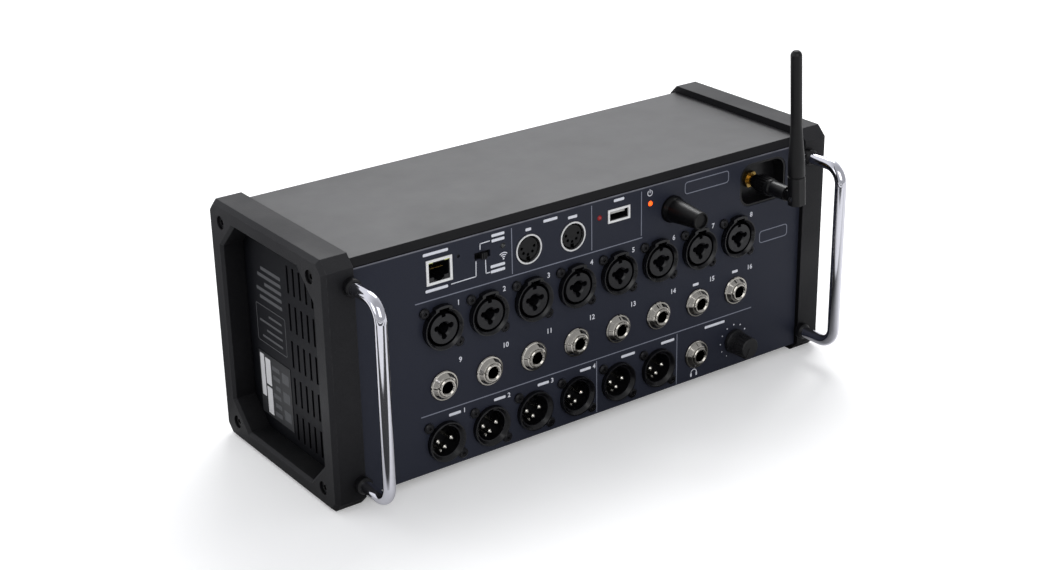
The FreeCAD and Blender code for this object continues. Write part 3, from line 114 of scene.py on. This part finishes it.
def surface(graph, rgb, rough=0.5, metal=0.0, grain=900.0, bump=0.25, depth=0.00004, tint=0.12,
            rough_var=0.08, wear=0.0, wear_rgb=(120, 120, 122), edge=0.0, coat=0.0, dust=0.0,
            stretch=(1.0, 1.0, 1.0), cells=False, glow=None, spec=0.5, cavity=0.0,
            front_rgb=None, rim_z=None, deep=None):
    """Add a grained Principled shader and return its output.

    grain, stretch, cells: scale, stretching and cell pattern of the fine relief
    bump, depth: strength and height (m) of the relief
    tint, rough_var: spread of brightness and of roughness
    edge, wear: radius of softened edges, and how far they are rubbed (wear needs edge)
    dust, cavity: amount of dust on upward faces, and painted shade darkening recesses (ambient
    occlusion)
    glow: emitted colour and strength
    front_rgb: painted shade, a darker colour with less specular on faces turned to the connector
    side
    rim_z: heights (m) over which a painted highlight along the top edge fades in
    deep: distance behind the panel face where painted shade starts to darken the colour
    """
    base = linear(rgb)
    place = graph.add("TexCoord").outputs["Object"]
    grain_place = graph.add("Mapping", {"Vector": place, "Scale": stretch}).outputs["Vector"]
    fine = graph.noise(grain_place, scale=grain, detail=3.0)
    broad = graph.noise(place, scale=22.0, detail=4.0)
    relief = fine
    if cells:
        relief = graph.add("TexVoronoi", {"Vector": grain_place,
                                          "Scale": grain}).outputs["Distance"]
    color = graph.mix(graph.remap(fine, (0.3, 0.7)), shade(base, 1 - tint), shade(base, 1 + tint))
    color = graph.mix(graph.remap(broad, (0.35, 0.7), (0.0, 0.35)),
                      color, shade(base, 1 + 1.6 * tint))
    roughness = graph.remap(broad, (0.3, 0.7),
                            (max(rough - rough_var, 0.02), min(rough + rough_var, 1.0)))
    specular = spec
    relief_inputs = {"Strength": bump, "Distance": depth, "Height": relief}
    if wear > 0 or dust > 0 or front_rgb:
        facing = graph.add("NewGeometry").outputs["Normal"]

    if edge > 0:
        soft = graph.add("Bevel", {"Radius": edge * MM}, samples=4).outputs["Normal"]
        relief_inputs["Normal"] = soft
        if wear > 0:    # an edge is where the softened normal leaves the true one
            bend = graph.add("VectorMath", {0: soft, 1: facing},
                             operation="DOT_PRODUCT").outputs["Value"]
            rim = graph.remap(bend, (0.999, 0.93))
            patch = graph.remap(graph.noise(place, scale=260.0, detail=5.0),
                                (0.42, 0.62), (0.15, 1.0))
            color = graph.mix(graph.times(graph.times(rim, patch), wear),
                              color, linear(wear_rgb))
    if dust > 0:
        upward = graph.remap(graph.axis(facing, "Z"), (0.6, 1.0))
        patch = graph.remap(graph.noise(place, scale=60.0, detail=6.0), (0.4, 0.75), (0.1, 1.0))
        color = graph.mix(graph.times(graph.times(upward, patch), dust),
                          color, linear((150, 148, 144)))
    # painted shade: faces turned to the connector side get a darker colour and less specular
    if front_rgb:
        forward, turn = graph.axis(facing, "Y"), (-0.15, -0.4)
        color = graph.mix(graph.remap(forward, turn), color, linear(front_rgb))
        specular = graph.remap(forward, turn, (spec, 0.08))
    # painted shade: surfaces further behind the panel face than this depth turn dark grey
    if deep:
        start = FRONT_Y + deep
        inside = graph.remap(graph.axis(place, "Y"), (start * MM, (start + 0.5) * MM))
        color = graph.mix(inside, color, linear((26, 26, 28)))
    # painted highlight: a lighter, patchy band along the top edge stands in for light caught by
    # the edge
    if rim_z:
        top = graph.remap(graph.axis(place, "Z"), rim_z)
        patch = graph.remap(graph.noise(place, scale=90.0, detail=4.0), (0.3, 0.6), (0.45, 1.0))
        color = graph.mix(graph.times(top, patch), color, linear((132, 133, 142)))
    # painted shade: recesses found by ambient occlusion are darkened and lose specular
    if cavity > 0:
        openness = graph.add("AmbientOcclusion", {"Distance": 0.06}, samples=4).outputs["AO"]
        reach = (0.35, 0.95)
        color = graph.mix(graph.remap(openness, reach, (cavity, 0.0)), color, shade(base, 0.12))
        specular = graph.remap(openness, reach, (spec * (1.0 - 0.8 * cavity), spec))

    inputs = {"Normal": graph.add("Bump", relief_inputs).outputs["Normal"],
              "Base Color": color, "Roughness": roughness, "Metallic": metal,
              "Specular IOR Level": specular, "Coat Weight": coat, "Coat Roughness": 0.12}
    if glow:
        inputs["Emission Color"] = linear(glow[0])
        inputs["Emission Strength"] = glow[1]
    return graph.add("BsdfPrincipled", inputs)


def material(name, rgb, **look):
    made = bpy.data.materials.new(name)
    graph = Graph(made)
    graph.add("OutputMaterial", {"Surface": surface(graph, rgb, **look).outputs["BSDF"]})
    return made


BRUSH = (1.0, 1.0, 14.0)
RUBBED = (70, 70, 74)
LAMP = dict(rough=0.22, grain=1200, bump=0.05, coat=0.5)
PANEL_INK = dict(rough=0.55, grain=2600, bump=0.30, depth=0.00002)
LABEL_INK = dict(rough=0.60, grain=2200, bump=0.25, depth=0.00002)

# one material for each CAD material slot
MATERIALS = {
    # the panel's top edge carries a painted highlight
    "panel": material("panel_coat", (37, 40, 52), rough=0.52, grain=1500, bump=0.35,
                      depth=0.00005, tint=0.10, edge=0.35, wear=0.5, wear_rgb=(96, 96, 102),
                      cells=True, spec=0.2, rim_z=(0.12935, 0.12995)),
    # the cover's faces turned to the front carry painted shade
    "cover": material("cover_coat", (40, 40, 42), rough=0.44, grain=1300, bump=0.40,
                      depth=0.00005, tint=0.10, edge=0.5, wear=0.5, cells=True, dust=0.03,
                      front_rgb=(13, 13, 16)),
    # painted shade darkens the recesses of the steel
    "steel_black": material("steel_coat", (20, 21, 26), rough=0.50, grain=1300, bump=0.35,
                            tint=0.10, edge=0.3, wear=0.4, wear_rgb=RUBBED, cells=True,
                            spec=0.18, cavity=0.9),
    # painted shade darkens the recesses of the bumper
    "bumper": material("bumper_moulding", (29, 29, 32), rough=0.54, grain=1100, bump=0.55,
                       depth=0.00007, edge=0.7, wear=0.30, wear_rgb=(80, 80, 82),
                       cells=True, dust=0.04, spec=0.26, cavity=0.85),
    "black_screw": material("black_zinc", (30, 30, 33), rough=0.34, metal=0.75, grain=1800,
                            edge=0.12, wear=0.6, wear_rgb=(140, 138, 132)),
    "chrome": material("chrome_plate", (222, 222, 230), rough=0.07, metal=1.0, grain=500,
                       bump=0.03, depth=0.00002, tint=0.02, rough_var=0.03),
    "black_plastic": material("black_moulding", (14, 14, 16), rough=0.40, grain=1600,
                              bump=0.30, edge=0.2, wear=0.2, wear_rgb=RUBBED, spec=0.3),
    "socket_black": material("socket_moulding", (10, 10, 13), rough=0.26, grain=1500,
                             bump=0.22, tint=0.14, edge=0.25, wear=0.35,
                             wear_rgb=(66, 66, 74), spec=0.42),
    "socket_face": material("socket_face_moulding", (14, 14, 18), rough=0.40, grain=1800,
                            bump=0.35, edge=0.15, wear=0.3, wear_rgb=(74, 74, 80), spec=0.45),
    # painted shade darkens the recesses of the nickel parts
    "nickel": material("nickel_plate", (204, 200, 192), rough=0.10, metal=1.0, grain=1200,
                       bump=0.06, tint=0.05, rough_var=0.06, edge=0.12, cavity=0.75),
    "contact_silver": material("silver_plate", (226, 223, 214), rough=0.20, metal=1.0,
                               grain=1500, bump=0.05, tint=0.04, rough_var=0.05),
    "socket_ring": material("tinned_ring", (228, 228, 228), rough=0.36, metal=1.0, grain=1500,
                            bump=0.15, tint=0.06, stretch=BRUSH),
    # painted shade darkens the tongue more than 3 mm behind the panel face
    "tongue_white": material("tongue_plastic", (190, 190, 186), rough=0.34, deep=3.0,
                             grain=1500, bump=0.10, tint=0.04),
    "lens_orange": material("lamp_orange", (240, 96, 22), tint=0.06,
                            glow=((255, 84, 12), 1.7), **LAMP),
    "lens_red": material("lamp_red", (120, 14, 16), tint=0.08,
                         glow=((160, 12, 14), 0.25), **LAMP),
    "lens_dark": material("lamp_smoked", (40, 42, 42), tint=0.08, **LAMP),
    "pot_metal": material("turned_metal", (178, 176, 170), rough=0.36, metal=1.0, grain=1500,
                          bump=0.12, stretch=BRUSH),
    "knob": material("knob_rubber", (13, 13, 16), rough=0.52, grain=1900, bump=0.35,
                     tint=0.14, edge=0.2, wear=0.2, wear_rgb=RUBBED),
    "gold": material("gold_plate", (176, 146, 84), rough=0.26, metal=1.0, grain=1400,
                     bump=0.08, tint=0.06, rough_var=0.06, edge=0.1),
    "antenna_plastic": material("antenna_moulding", (10, 10, 12), rough=0.38, grain=1500,
                                bump=0.30, edge=0.2, wear=0.2, wear_rgb=(60, 60, 64),
                                spec=0.35),
    "rest_rubber": material("rest_rubber", (4, 4, 5), rough=0.36, grain=1300, bump=0.45,
                            tint=0.16, edge=0.4, spec=0.24),
    "board_green": material("solder_mask", (28, 84, 50), rough=0.34, bump=0.20, tint=0.18,
                            coat=0.3),
    "transformer": material("winding_tape", (196, 164, 74), rough=0.46, grain=700, tint=0.16,
                            stretch=(1, 1, 6)),
    "capacitor": material("shrink_sleeve", (40, 48, 92), rough=0.28, grain=700, bump=0.08,
                          tint=0.10),
    "heat_sink": material("extruded_metal", (182, 184, 188), rough=0.34, metal=1.0, bump=0.20,
                          stretch=BRUSH),
    "shield_can": material("tin_can", (196, 197, 196), rough=0.32, metal=1.0, grain=1100,
                           bump=0.12),
    "wire": material("wire_jacket", (66, 66, 70), grain=1300, bump=0.20, tint=0.15),
    "label_film": material("label_film", (34, 35, 38), grain=1600, bump=0.20, tint=0.05,
                           rough_var=0.05),
}
INK = material("panel_ink", (218, 220, 228), tint=0.10, **PANEL_INK)
INK_DIM = material("panel_ink_line", (120, 124, 138), tint=0.14, **PANEL_INK)
INK_GREY = material("label_ink_grey", (74, 75, 78), **LABEL_INK)
INK_PALE = material("label_ink_pale", (204, 204, 206), tint=0.08, **LABEL_INK)
LAMP_LIME = material("port_lamp", (196, 204, 110), rough=0.25, grain=1200, bump=0.05,
                     tint=0.08, coat=0.4)
# painted shade darkens the inside of the shell behind the panel face
SHELL = material("pressed_shell", (240, 240, 240), rough=0.42, metal=0.45, deep=0.15,
                 grain=1500, bump=0.15, tint=0.06, edge=0.1, wear=0.5,
                 wear_rgb=(250, 250, 250))
DATA_FACE = material("data_face_moulding", (7, 7, 9), rough=0.36, grain=1800, bump=0.3,
                     edge=0.15, wear=0.2, wear_rgb=(60, 60, 64), spec=0.3)

slot_of = {part["node"]: part["material_slot"] for part in frame["record"]["subparts"]}
for name, node in NODES.items():
    if not node.material_slots:
        node.data.materials.append(MATERIALS[slot_of[name]])
    for slot in node.material_slots:
        slot.material = MATERIALS[slot_of[name]]

# the data sockets look different from the rest of their slots
for name, own in (("network_socket_shell", SHELL), ("usb_socket_shell", SHELL),
                  ("data_socket_inserts", DATA_FACE)):
    for slot in NODES[name].material_slots:
        slot.material = own


# ---- tools for thin printed and moulded pieces -------------------------------------------------
def front(across, up, out):
    """A place on the connector panel."""
    return Vector((across * MM, (FRONT_Y - out) * MM, up * MM))


def left(back, up, out):
    """A place on the left side plate, measured back from the connector panel."""
    return Vector(((LEFT_X - out) * MM, (FRONT_Y + back) * MM, up * MM))


def prism(mesh, outline, where=front, span=PRINT):
    low, high = [[mesh.verts.new(where(x, z, out)) for x, z in outline] for out in span]
    mesh.faces.new(low)
    mesh.faces.new(list(reversed(high)))
    for i in range(len(outline)):
        j = (i + 1) % len(outline)
        mesh.faces.new((low[i], high[i], high[j], low[j]))


def loft(mesh, rows):
    """Join four-cornered sections into a capped bar."""
    for this, following in zip(rows, rows[1:]):
        for i in range(4):
            j = (i + 1) % 4
            mesh.faces.new((this[i], this[j], following[j], following[i]))
    mesh.faces.new(rows[0])
    mesh.faces.new(list(reversed(rows[-1])))


def arc_band(mesh, x, z, radius, width, start, end, steps):
    """A printed arc; angles are degrees clockwise from the top."""
    inner, outer = radius - width / 2, radius + width / 2
    low, high = PRINT
    rows = []
    for i in range(steps + 1):
        angle = math.radians(start + (end - start) * i / steps)
        rows.append([mesh.verts.new(front(x + r * math.sin(angle), z + r * math.cos(angle), out))
                     for r, out in ((inner, low), (outer, low), (outer, high), (inner, high))])
    loft(mesh, rows)


def stroke(mesh, points, width):
    """Straight printed lines through the points, with square ends half a width past them."""
    for (x0, z0), (x1, z1) in zip(points, points[1:]):
        length = math.hypot(x1 - x0, z1 - z0)
        along_x, along_z = [(d / length) * width / 2 for d in (x1 - x0, z1 - z0)]
        side_x, side_z = -along_z, along_x
        prism(mesh, [(x0 + side_x - along_x, z0 + side_z - along_z),
                     (x0 - side_x - along_x, z0 - side_z - along_z),
                     (x1 - side_x + along_x, z1 - side_z + along_z),
                     (x1 + side_x + along_x, z1 + side_z + along_z)])


def rounded(x0, x1, z0, z1, radius, steps=4):
    points = []
    for x, z, start in ((x1 - radius, z1 - radius, 0), (x0 + radius, z1 - radius, 90),
                        (x0 + radius, z0 + radius, 180), (x1 - radius, z0 + radius, 270)):
        for i in range(steps + 1):
            angle = math.radians(start + 90.0 * i / steps)
            points.append((x + radius * math.cos(angle), z + radius * math.sin(angle)))
    return points


def disc(x, z, radius, sides=14):
    angles = [2 * math.pi * i / sides for i in range(sides)]
    return [(x + radius * math.cos(a), z + radius * math.sin(a)) for a in angles]


def border(mesh, box, width, radius, inner_radius, steps, where=front):
    """A printed rounded frame; box is x0, x1, z0, z1."""
    x0, x1, z0, z1 = box
    outer = rounded(x0, x1, z0, z1, radius, steps)
    inner = rounded(x0 + width, x1 - width, z0 + width, z1 - width, inner_radius, steps)
    low, high = PRINT
    rings = [[mesh.verts.new(where(*point, out)) for point in points]
             for points, out in ((outer, low), (outer, high), (inner, high), (inner, low))]
    for i in range(len(outer)):
        j = (i + 1) % len(outer)
        for k in range(4):
            this, following = rings[k], rings[(k + 1) % 4]
            mesh.faces.new((this[i], following[i], following[j], this[j]))


def piece(name, mesh, look):
    """Turn the mesh into an object that rides on the chassis."""
    bmesh.ops.recalc_face_normals(mesh, faces=mesh.faces)
    data = bpy.data.meshes.new(name)
    mesh.to_mesh(data)
    mesh.free()
    data.materials.append(look)
    made = bpy.data.objects.new(name, data)
    bpy.context.scene.collection.objects.link(made)
    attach(made, "chassis")


# ---- print on the connector panel --------------------------------------------------------------
# dividing lines of the layout
mesh = bmesh.new()
stroke(mesh, ((-113.4, 101.7), (32.0, 101.7)), width=0.55)
for x in (-54.0, -2.2, 31.6):
    stroke(mesh, ((x, 103.2), (x, 128.0)), width=0.5)
stroke(mesh, ((-112.8, 38.2), (113.6, 38.2)), width=0.55)
for x in (0.8, 58.1):
    stroke(mesh, ((x, 36.8), (x, 6.2)), width=0.5)
piece("panel_divider_lines", mesh, INK_DIM)

# brackets from the mode switch to its three settings
mesh = bmesh.new()
for points in (((-73.7, 121.6), (-73.6, 124.5), (-67.8, 124.7)),
               ((-76.4, 115.4), (-76.6, 107.4), (-91.6, 107.2)),
               ((-70.5, 114.7), (-70.4, 107.5), (-68.2, 107.5))):
    stroke(mesh, points, width=0.5)
piece("mode_switch_brackets", mesh, INK)

# plain bars in place of worded labels: centre x, centre z, width
BAR_HALF_HEIGHT = 0.78
LOWER_LABEL_Z = 34.4
BARS = [
    (-100.5, 126.6, 15.0), (-62.5, 127.0, 8.0), (-62.5, 124.2, 8.0), (-63.0, 110.2, 9.0),
    (-63.0, 107.4, 9.0), (-100.5, 106.9, 13.5), (-29.2, 127.0, 9.0), (-43.4, 125.0, 3.6),
    (-14.8, 125.0, 6.0), (16.2, 127.4, 7.0), (86.1, 35.0, 15.0),
    *((x + 6.2, LOWER_LABEL_Z, 7.4) for x in COLUMNS[:4]),
    *((x + 7.4, LOWER_LABEL_Z, 9.6) for x in COLUMNS[4:6]),
    (71.3, 63.8, 4.2), (100.5, 64.1, 4.2),
]
mesh = bmesh.new()
for x, z, width in BARS:
    prism(mesh, rounded(x - width / 2, x + width / 2,
                        z - BAR_HALF_HEIGHT, z + BAR_HALF_HEIGHT, radius=0.5))
piece("blank_label_bars", mesh, INK)

# blank badge outlines
mesh = bmesh.new()
for box in ((62.0, 94.0, 119.4, 126.6), (118.4, 140.0, 76.6, 84.0)):
    border(mesh, box, width=0.5, radius=2.0, inner_radius=1.5, steps=5)
piece("blank_badge_outlines", mesh, INK_DIM)

# dots round the level dial, growing towards the loud end
DIAL_X, DIAL_Z, DIAL_RADIUS = 100.8, 20.9, 9.9
mesh = bmesh.new()
for i in range(11):
    angle = math.radians(-150 + 30 * i)
    prism(mesh, disc(DIAL_X + DIAL_RADIUS * math.sin(angle),
                     DIAL_Z + DIAL_RADIUS * math.cos(angle), radius=0.30 + 0.03 * i))
piece("level_dial_dots", mesh, INK)

# small signs: headphones, radio waves, power
PHONES_X, PHONES_Z = 71.0, 9.2
RADIO_X, RADIO_Z = -59.3, 112.8
POWER_X, POWER_Z = 37.5, 126.1
mesh = bmesh.new()
arc_band(mesh, PHONES_X, PHONES_Z, radius=2.0, width=0.5, start=-95, end=95, steps=18)
for side in (-1, 1):
    x = PHONES_X + side * 2.0
    prism(mesh, rounded(x - 0.55, x + 0.55, PHONES_Z - 2.2, PHONES_Z, radius=0.45))
for radius in (1.2, 2.3, 3.4):
    arc_band(mesh, RADIO_X, RADIO_Z, radius, width=0.5, start=-42, end=42, steps=12)
prism(mesh, disc(RADIO_X, RADIO_Z, radius=0.5))
arc_band(mesh, POWER_X, POWER_Z, radius=1.575, width=0.45, start=35, end=325, steps=22)
stroke(mesh, ((POWER_X, POWER_Z + 0.3), (POWER_X, POWER_Z + 1.9)), width=0.45)
piece("panel_signs", mesh, INK)


# channel numbers
def number(mesh, text, x, z, height):
    """Add printed digits, centred on x and z, to the mesh."""
    low, high = PRINT
    curve = bpy.data.curves.new("t", "FONT")
    curve.body = text
    curve.align_x, curve.align_y = "CENTER", "CENTER"
    curve.size = height / 0.72 * MM    # digits fill 0.72 of the font size
    curve.extrude = (high - low) / 2 * MM
    curve.offset = 0.07 * MM
    curve.resolution_u = 3
    text_object = bpy.data.objects.new("t", curve)
    bpy.context.scene.collection.objects.link(text_object)
    bpy.context.view_layer.update()
    depsgraph = bpy.context.evaluated_depsgraph_get()
    data = bpy.data.meshes.new_from_object(text_object.evaluated_get(depsgraph))
    data.transform(Matrix.Translation(front(x, z, (low + high) / 2))
                   @ Matrix.Rotation(math.pi / 2, 4, "X"))
    bpy.data.objects.remove(text_object)
    bpy.data.curves.remove(curve)
    mesh.from_mesh(data)
    bpy.data.meshes.remove(data)


mesh = bmesh.new()
for i, x in enumerate(COLUMNS):
    number(mesh, str(i + 1), x + 10.8, 96.0, height=2.9)
    number(mesh, str(i + 9), x + 10.8, 64.0, height=2.9)
for i, x in enumerate(COLUMNS[:4]):
    number(mesh, str(i + 1), x + 12.2, LOWER_LABEL_Z, height=2.7)
bmesh.ops.remove_doubles(mesh, verts=mesh.verts, dist=1e-7)
piece("channel_numbers", mesh, INK)

# ---- print on the left side plate --------------------------------------------------------------
# pale blocks along the rear side of the rating plate
mesh = bmesh.new()
for box in ((90.4, 94.8, 27.6, 52.6), (83.6, 89.2, 36.0, 51.6), (83.6, 89.2, 18.6, 34.6)):
    prism(mesh, rounded(*box, radius=0.5), left, PLATE_PRINT)
piece("rating_plate_pale_blocks", mesh, INK_PALE)


def left_rows(mesh, start, widths, low, pitch, height, radius, span=PRINT):
    """Bars stacked upwards on the left side plate, all starting at the same place."""
    for i, width in enumerate(widths):
        z = low + pitch * i
        prism(mesh, rounded(start, start + width, z, z + height, radius), left, span)


# grey fields on the rating plate
mesh = bmesh.new()
left_rows(mesh, start=74.0, widths=(8.0, 6.6, 8.0, 5.4, 7.4, 8.0), low=19.6, pitch=5.4,
          height=2.6, radius=0.4, span=PLATE_PRINT)
left_rows(mesh, start=64.0, widths=(7.4,) * 3, low=21.0, pitch=11.0,
          height=6.0, radius=0.4, span=PLATE_PRINT)
piece("rating_label_fields", mesh, INK_GREY)

# above the plate: a frame with rows in it, and more rows over the frame
mesh = bmesh.new()
border(mesh, (64.0, 95.4, 60.0, 82.0), width=0.45, radius=1.2, inner_radius=0.8, steps=4,
       where=left)
left_rows(mesh, start=68.0, widths=(22.0, 17.0, 24.0, 14.0), low=63.4, pitch=4.4,
          height=1.3, radius=0.5)
left_rows(mesh, start=66.0, widths=(24.0, 27.0, 18.0, 25.0, 21.0), low=86.0, pitch=4.2,
          height=2.0, radius=0.5)
piece("side_plate_blank_print", mesh, INK_GREY)

# ---- network socket ----------------------------------------------------------------------------
NETWORK_X, NETWORK_Z = -98.7, 116.5
# path of a contact wire: height over the socket centre, distance out of the panel
WIRE_PATH = ((3.3, -9.6), (2.5, -7.6), (0.9, -4.6), (0.5, -3.4), (0.9, -2.6))
WIRE_SECTION = ((-0.2, -0.12), (0.2, -0.12), (0.2, 0.12), (-0.2, 0.12))
mesh = bmesh.new()
for i in range(8):
    x = NETWORK_X - 3.57 + 1.02 * i
    loft(mesh, [[mesh.verts.new(front(x + across, NETWORK_Z + height + up, out))
                 for across, up in WIRE_SECTION] for height, out in WIRE_PATH])
piece("network_contact_wires", mesh, MATERIALS["gold"])

# lamp windows
mesh = bmesh.new()
for side in (-1, 1):
    x = NETWORK_X + side * 5.1
    prism(mesh, rounded(x - 1.7, x + 1.7, NETWORK_Z + 4.75, NETWORK_Z + 5.75, radius=0.25),
          span=(-0.195, -0.08))
piece("network_lamp_windows", mesh, LAMP_LIME)

# ---- floor (metres from here on) ---------------------------------------------------------------
mesh = bmesh.new()
bmesh.ops.create_grid(mesh, x_segments=8, y_segments=8, size=1.8)
data = bpy.data.meshes.new("floor")
mesh.to_mesh(data)
mesh.free()
floor = bpy.data.objects.new("floor", data)
bpy.context.scene.collection.objects.link(floor)
floor_paint = bpy.data.materials.new("floor_paint")
data.materials.append(floor_paint)

graph = Graph(floor_paint)
paint = surface(graph, (246, 246, 246), rough=0.75, grain=40, bump=0.02, tint=0.01,
                rough_var=0.04, spec=0.2)
ray = graph.add("LightPath").outputs
# seen directly it is a lit white sweep, which adds no light of its own to the unit
graph.tree.links.new(graph.times(ray["Is Camera Ray"], 0.26), paint.inputs["Emission Strength"])
paint.inputs["Emission Color"].default_value = (1.0, 1.0, 1.0, 1.0)
# it mirrors in dark and light bands, lighter to the right, so plated parts keep their contrast
place = graph.add("TexCoord").outputs["Object"]
waves = graph.add("TexWave", {"Vector": place, "Scale": 1.7, "Distortion": 1.6, "Detail": 1.0},
                  bands_direction="DIAGONAL").outputs["Fac"]
bands = graph.remap(waves, (0.30, 0.55), (0.06, 0.90), interpolation_type="SMOOTHSTEP")
right_side = graph.remap(graph.axis(place, "X"), (0.02, 0.22), (0.0, 0.72))
grey = graph.math("MAXIMUM", bands, right_side)
mirrored = graph.add("CombineColor", {0: grey, 1: grey, 2: grey}).outputs["Color"]
diffuse = graph.add("BsdfDiffuse", {"Color": mirrored}).outputs[0]
upper = graph.mix_shader(ray["Is Glossy Ray"], paint.outputs[0], diffuse)
# seen from below the floor is clear, so the underside shows
below = graph.add("NewGeometry").outputs["Backfacing"]
clear = graph.add("BsdfTransparent").outputs[0]
graph.add("OutputMaterial", {"Surface": graph.mix_shader(below, upper, clear)})

# ---- world: white to the camera; as light, bright behind the unit and dim in front -------------
world = bpy.data.worlds.new("studio")
bpy.context.scene.world = world
graph = Graph(world)
direction = graph.add("TexCoord").outputs["Generated"]
strength = graph.remap(graph.axis(direction, "Y"), (-0.35, 0.75), (0.46, 0.95),
                       interpolation_type="SMOOTHSTEP")
lit = graph.add("Background", {"Color": (0.96, 0.97, 1.0, 1.0), "Strength": strength})
seen = graph.add("Background", {"Color": (1.0, 1.0, 1.0, 1.0), "Strength": 1.0})
to_camera = graph.add("LightPath").outputs["Is Camera Ray"]
graph.add("OutputWorld", {
    "Surface": graph.mix_shader(to_camera, lit.outputs[0], seen.outputs[0])})


# ---- lights and camera -------------------------------------------------------------------------
def area(name, place, target, size, power, size_y=None):
    light = bpy.data.lights.new(name, "AREA")
    light.energy, light.size = power, size
    if size_y:
        light.shape, light.size_y = "RECTANGLE", size_y
    lamp = bpy.data.objects.new(name, light)
    bpy.context.scene.collection.objects.link(lamp)
    lamp.location = place
    lamp.rotation_mode = "QUATERNION"
    lamp.rotation_quaternion = (Vector(target) - Vector(place)).to_track_quat("-Z", "Y")


area("key", place=(0.9, 0.9, 1.5), target=(0.0, 0.05, 0.07), size=1.2, power=22.0, size_y=0.8)
area("fill", place=(-0.6, -1.6, 1.1), target=(0.0, 0.0, 0.07), size=1.4, power=9.0)
area("side", place=(-1.7, 0.1, 0.5), target=(-0.15, 0.05, 0.07), size=0.7, power=2.5)

camera_data = bpy.data.cameras.new("camera")
camera = bpy.data.objects.new("camera", camera_data)
bpy.context.scene.collection.objects.link(camera)
camera_data.sensor_width, camera_data.lens = 36.0, 63.5132
camera_data.clip_start, camera_data.clip_end = 0.01, 50.0
# the camera's own axes and its place
CAMERA_RIGHT = (0.809465, -0.586902, -0.017676)
CAMERA_UP = (0.244027, 0.308880, 0.919263)
CAMERA_BACK = (-0.534057, -0.748425, 0.393247)
CAMERA_PLACE = (-0.560585, -0.721381 + FRONT_Y * MM, 0.473561)
camera.matrix_world = Matrix((*zip(CAMERA_RIGHT, CAMERA_UP, CAMERA_BACK, CAMERA_PLACE),
                              (0.0, 0.0, 0.0, 1.0)))
scene = bpy.context.scene
scene.camera = camera
scene.view_settings.view_transform = "Standard"
scene.view_settings.look = "None"
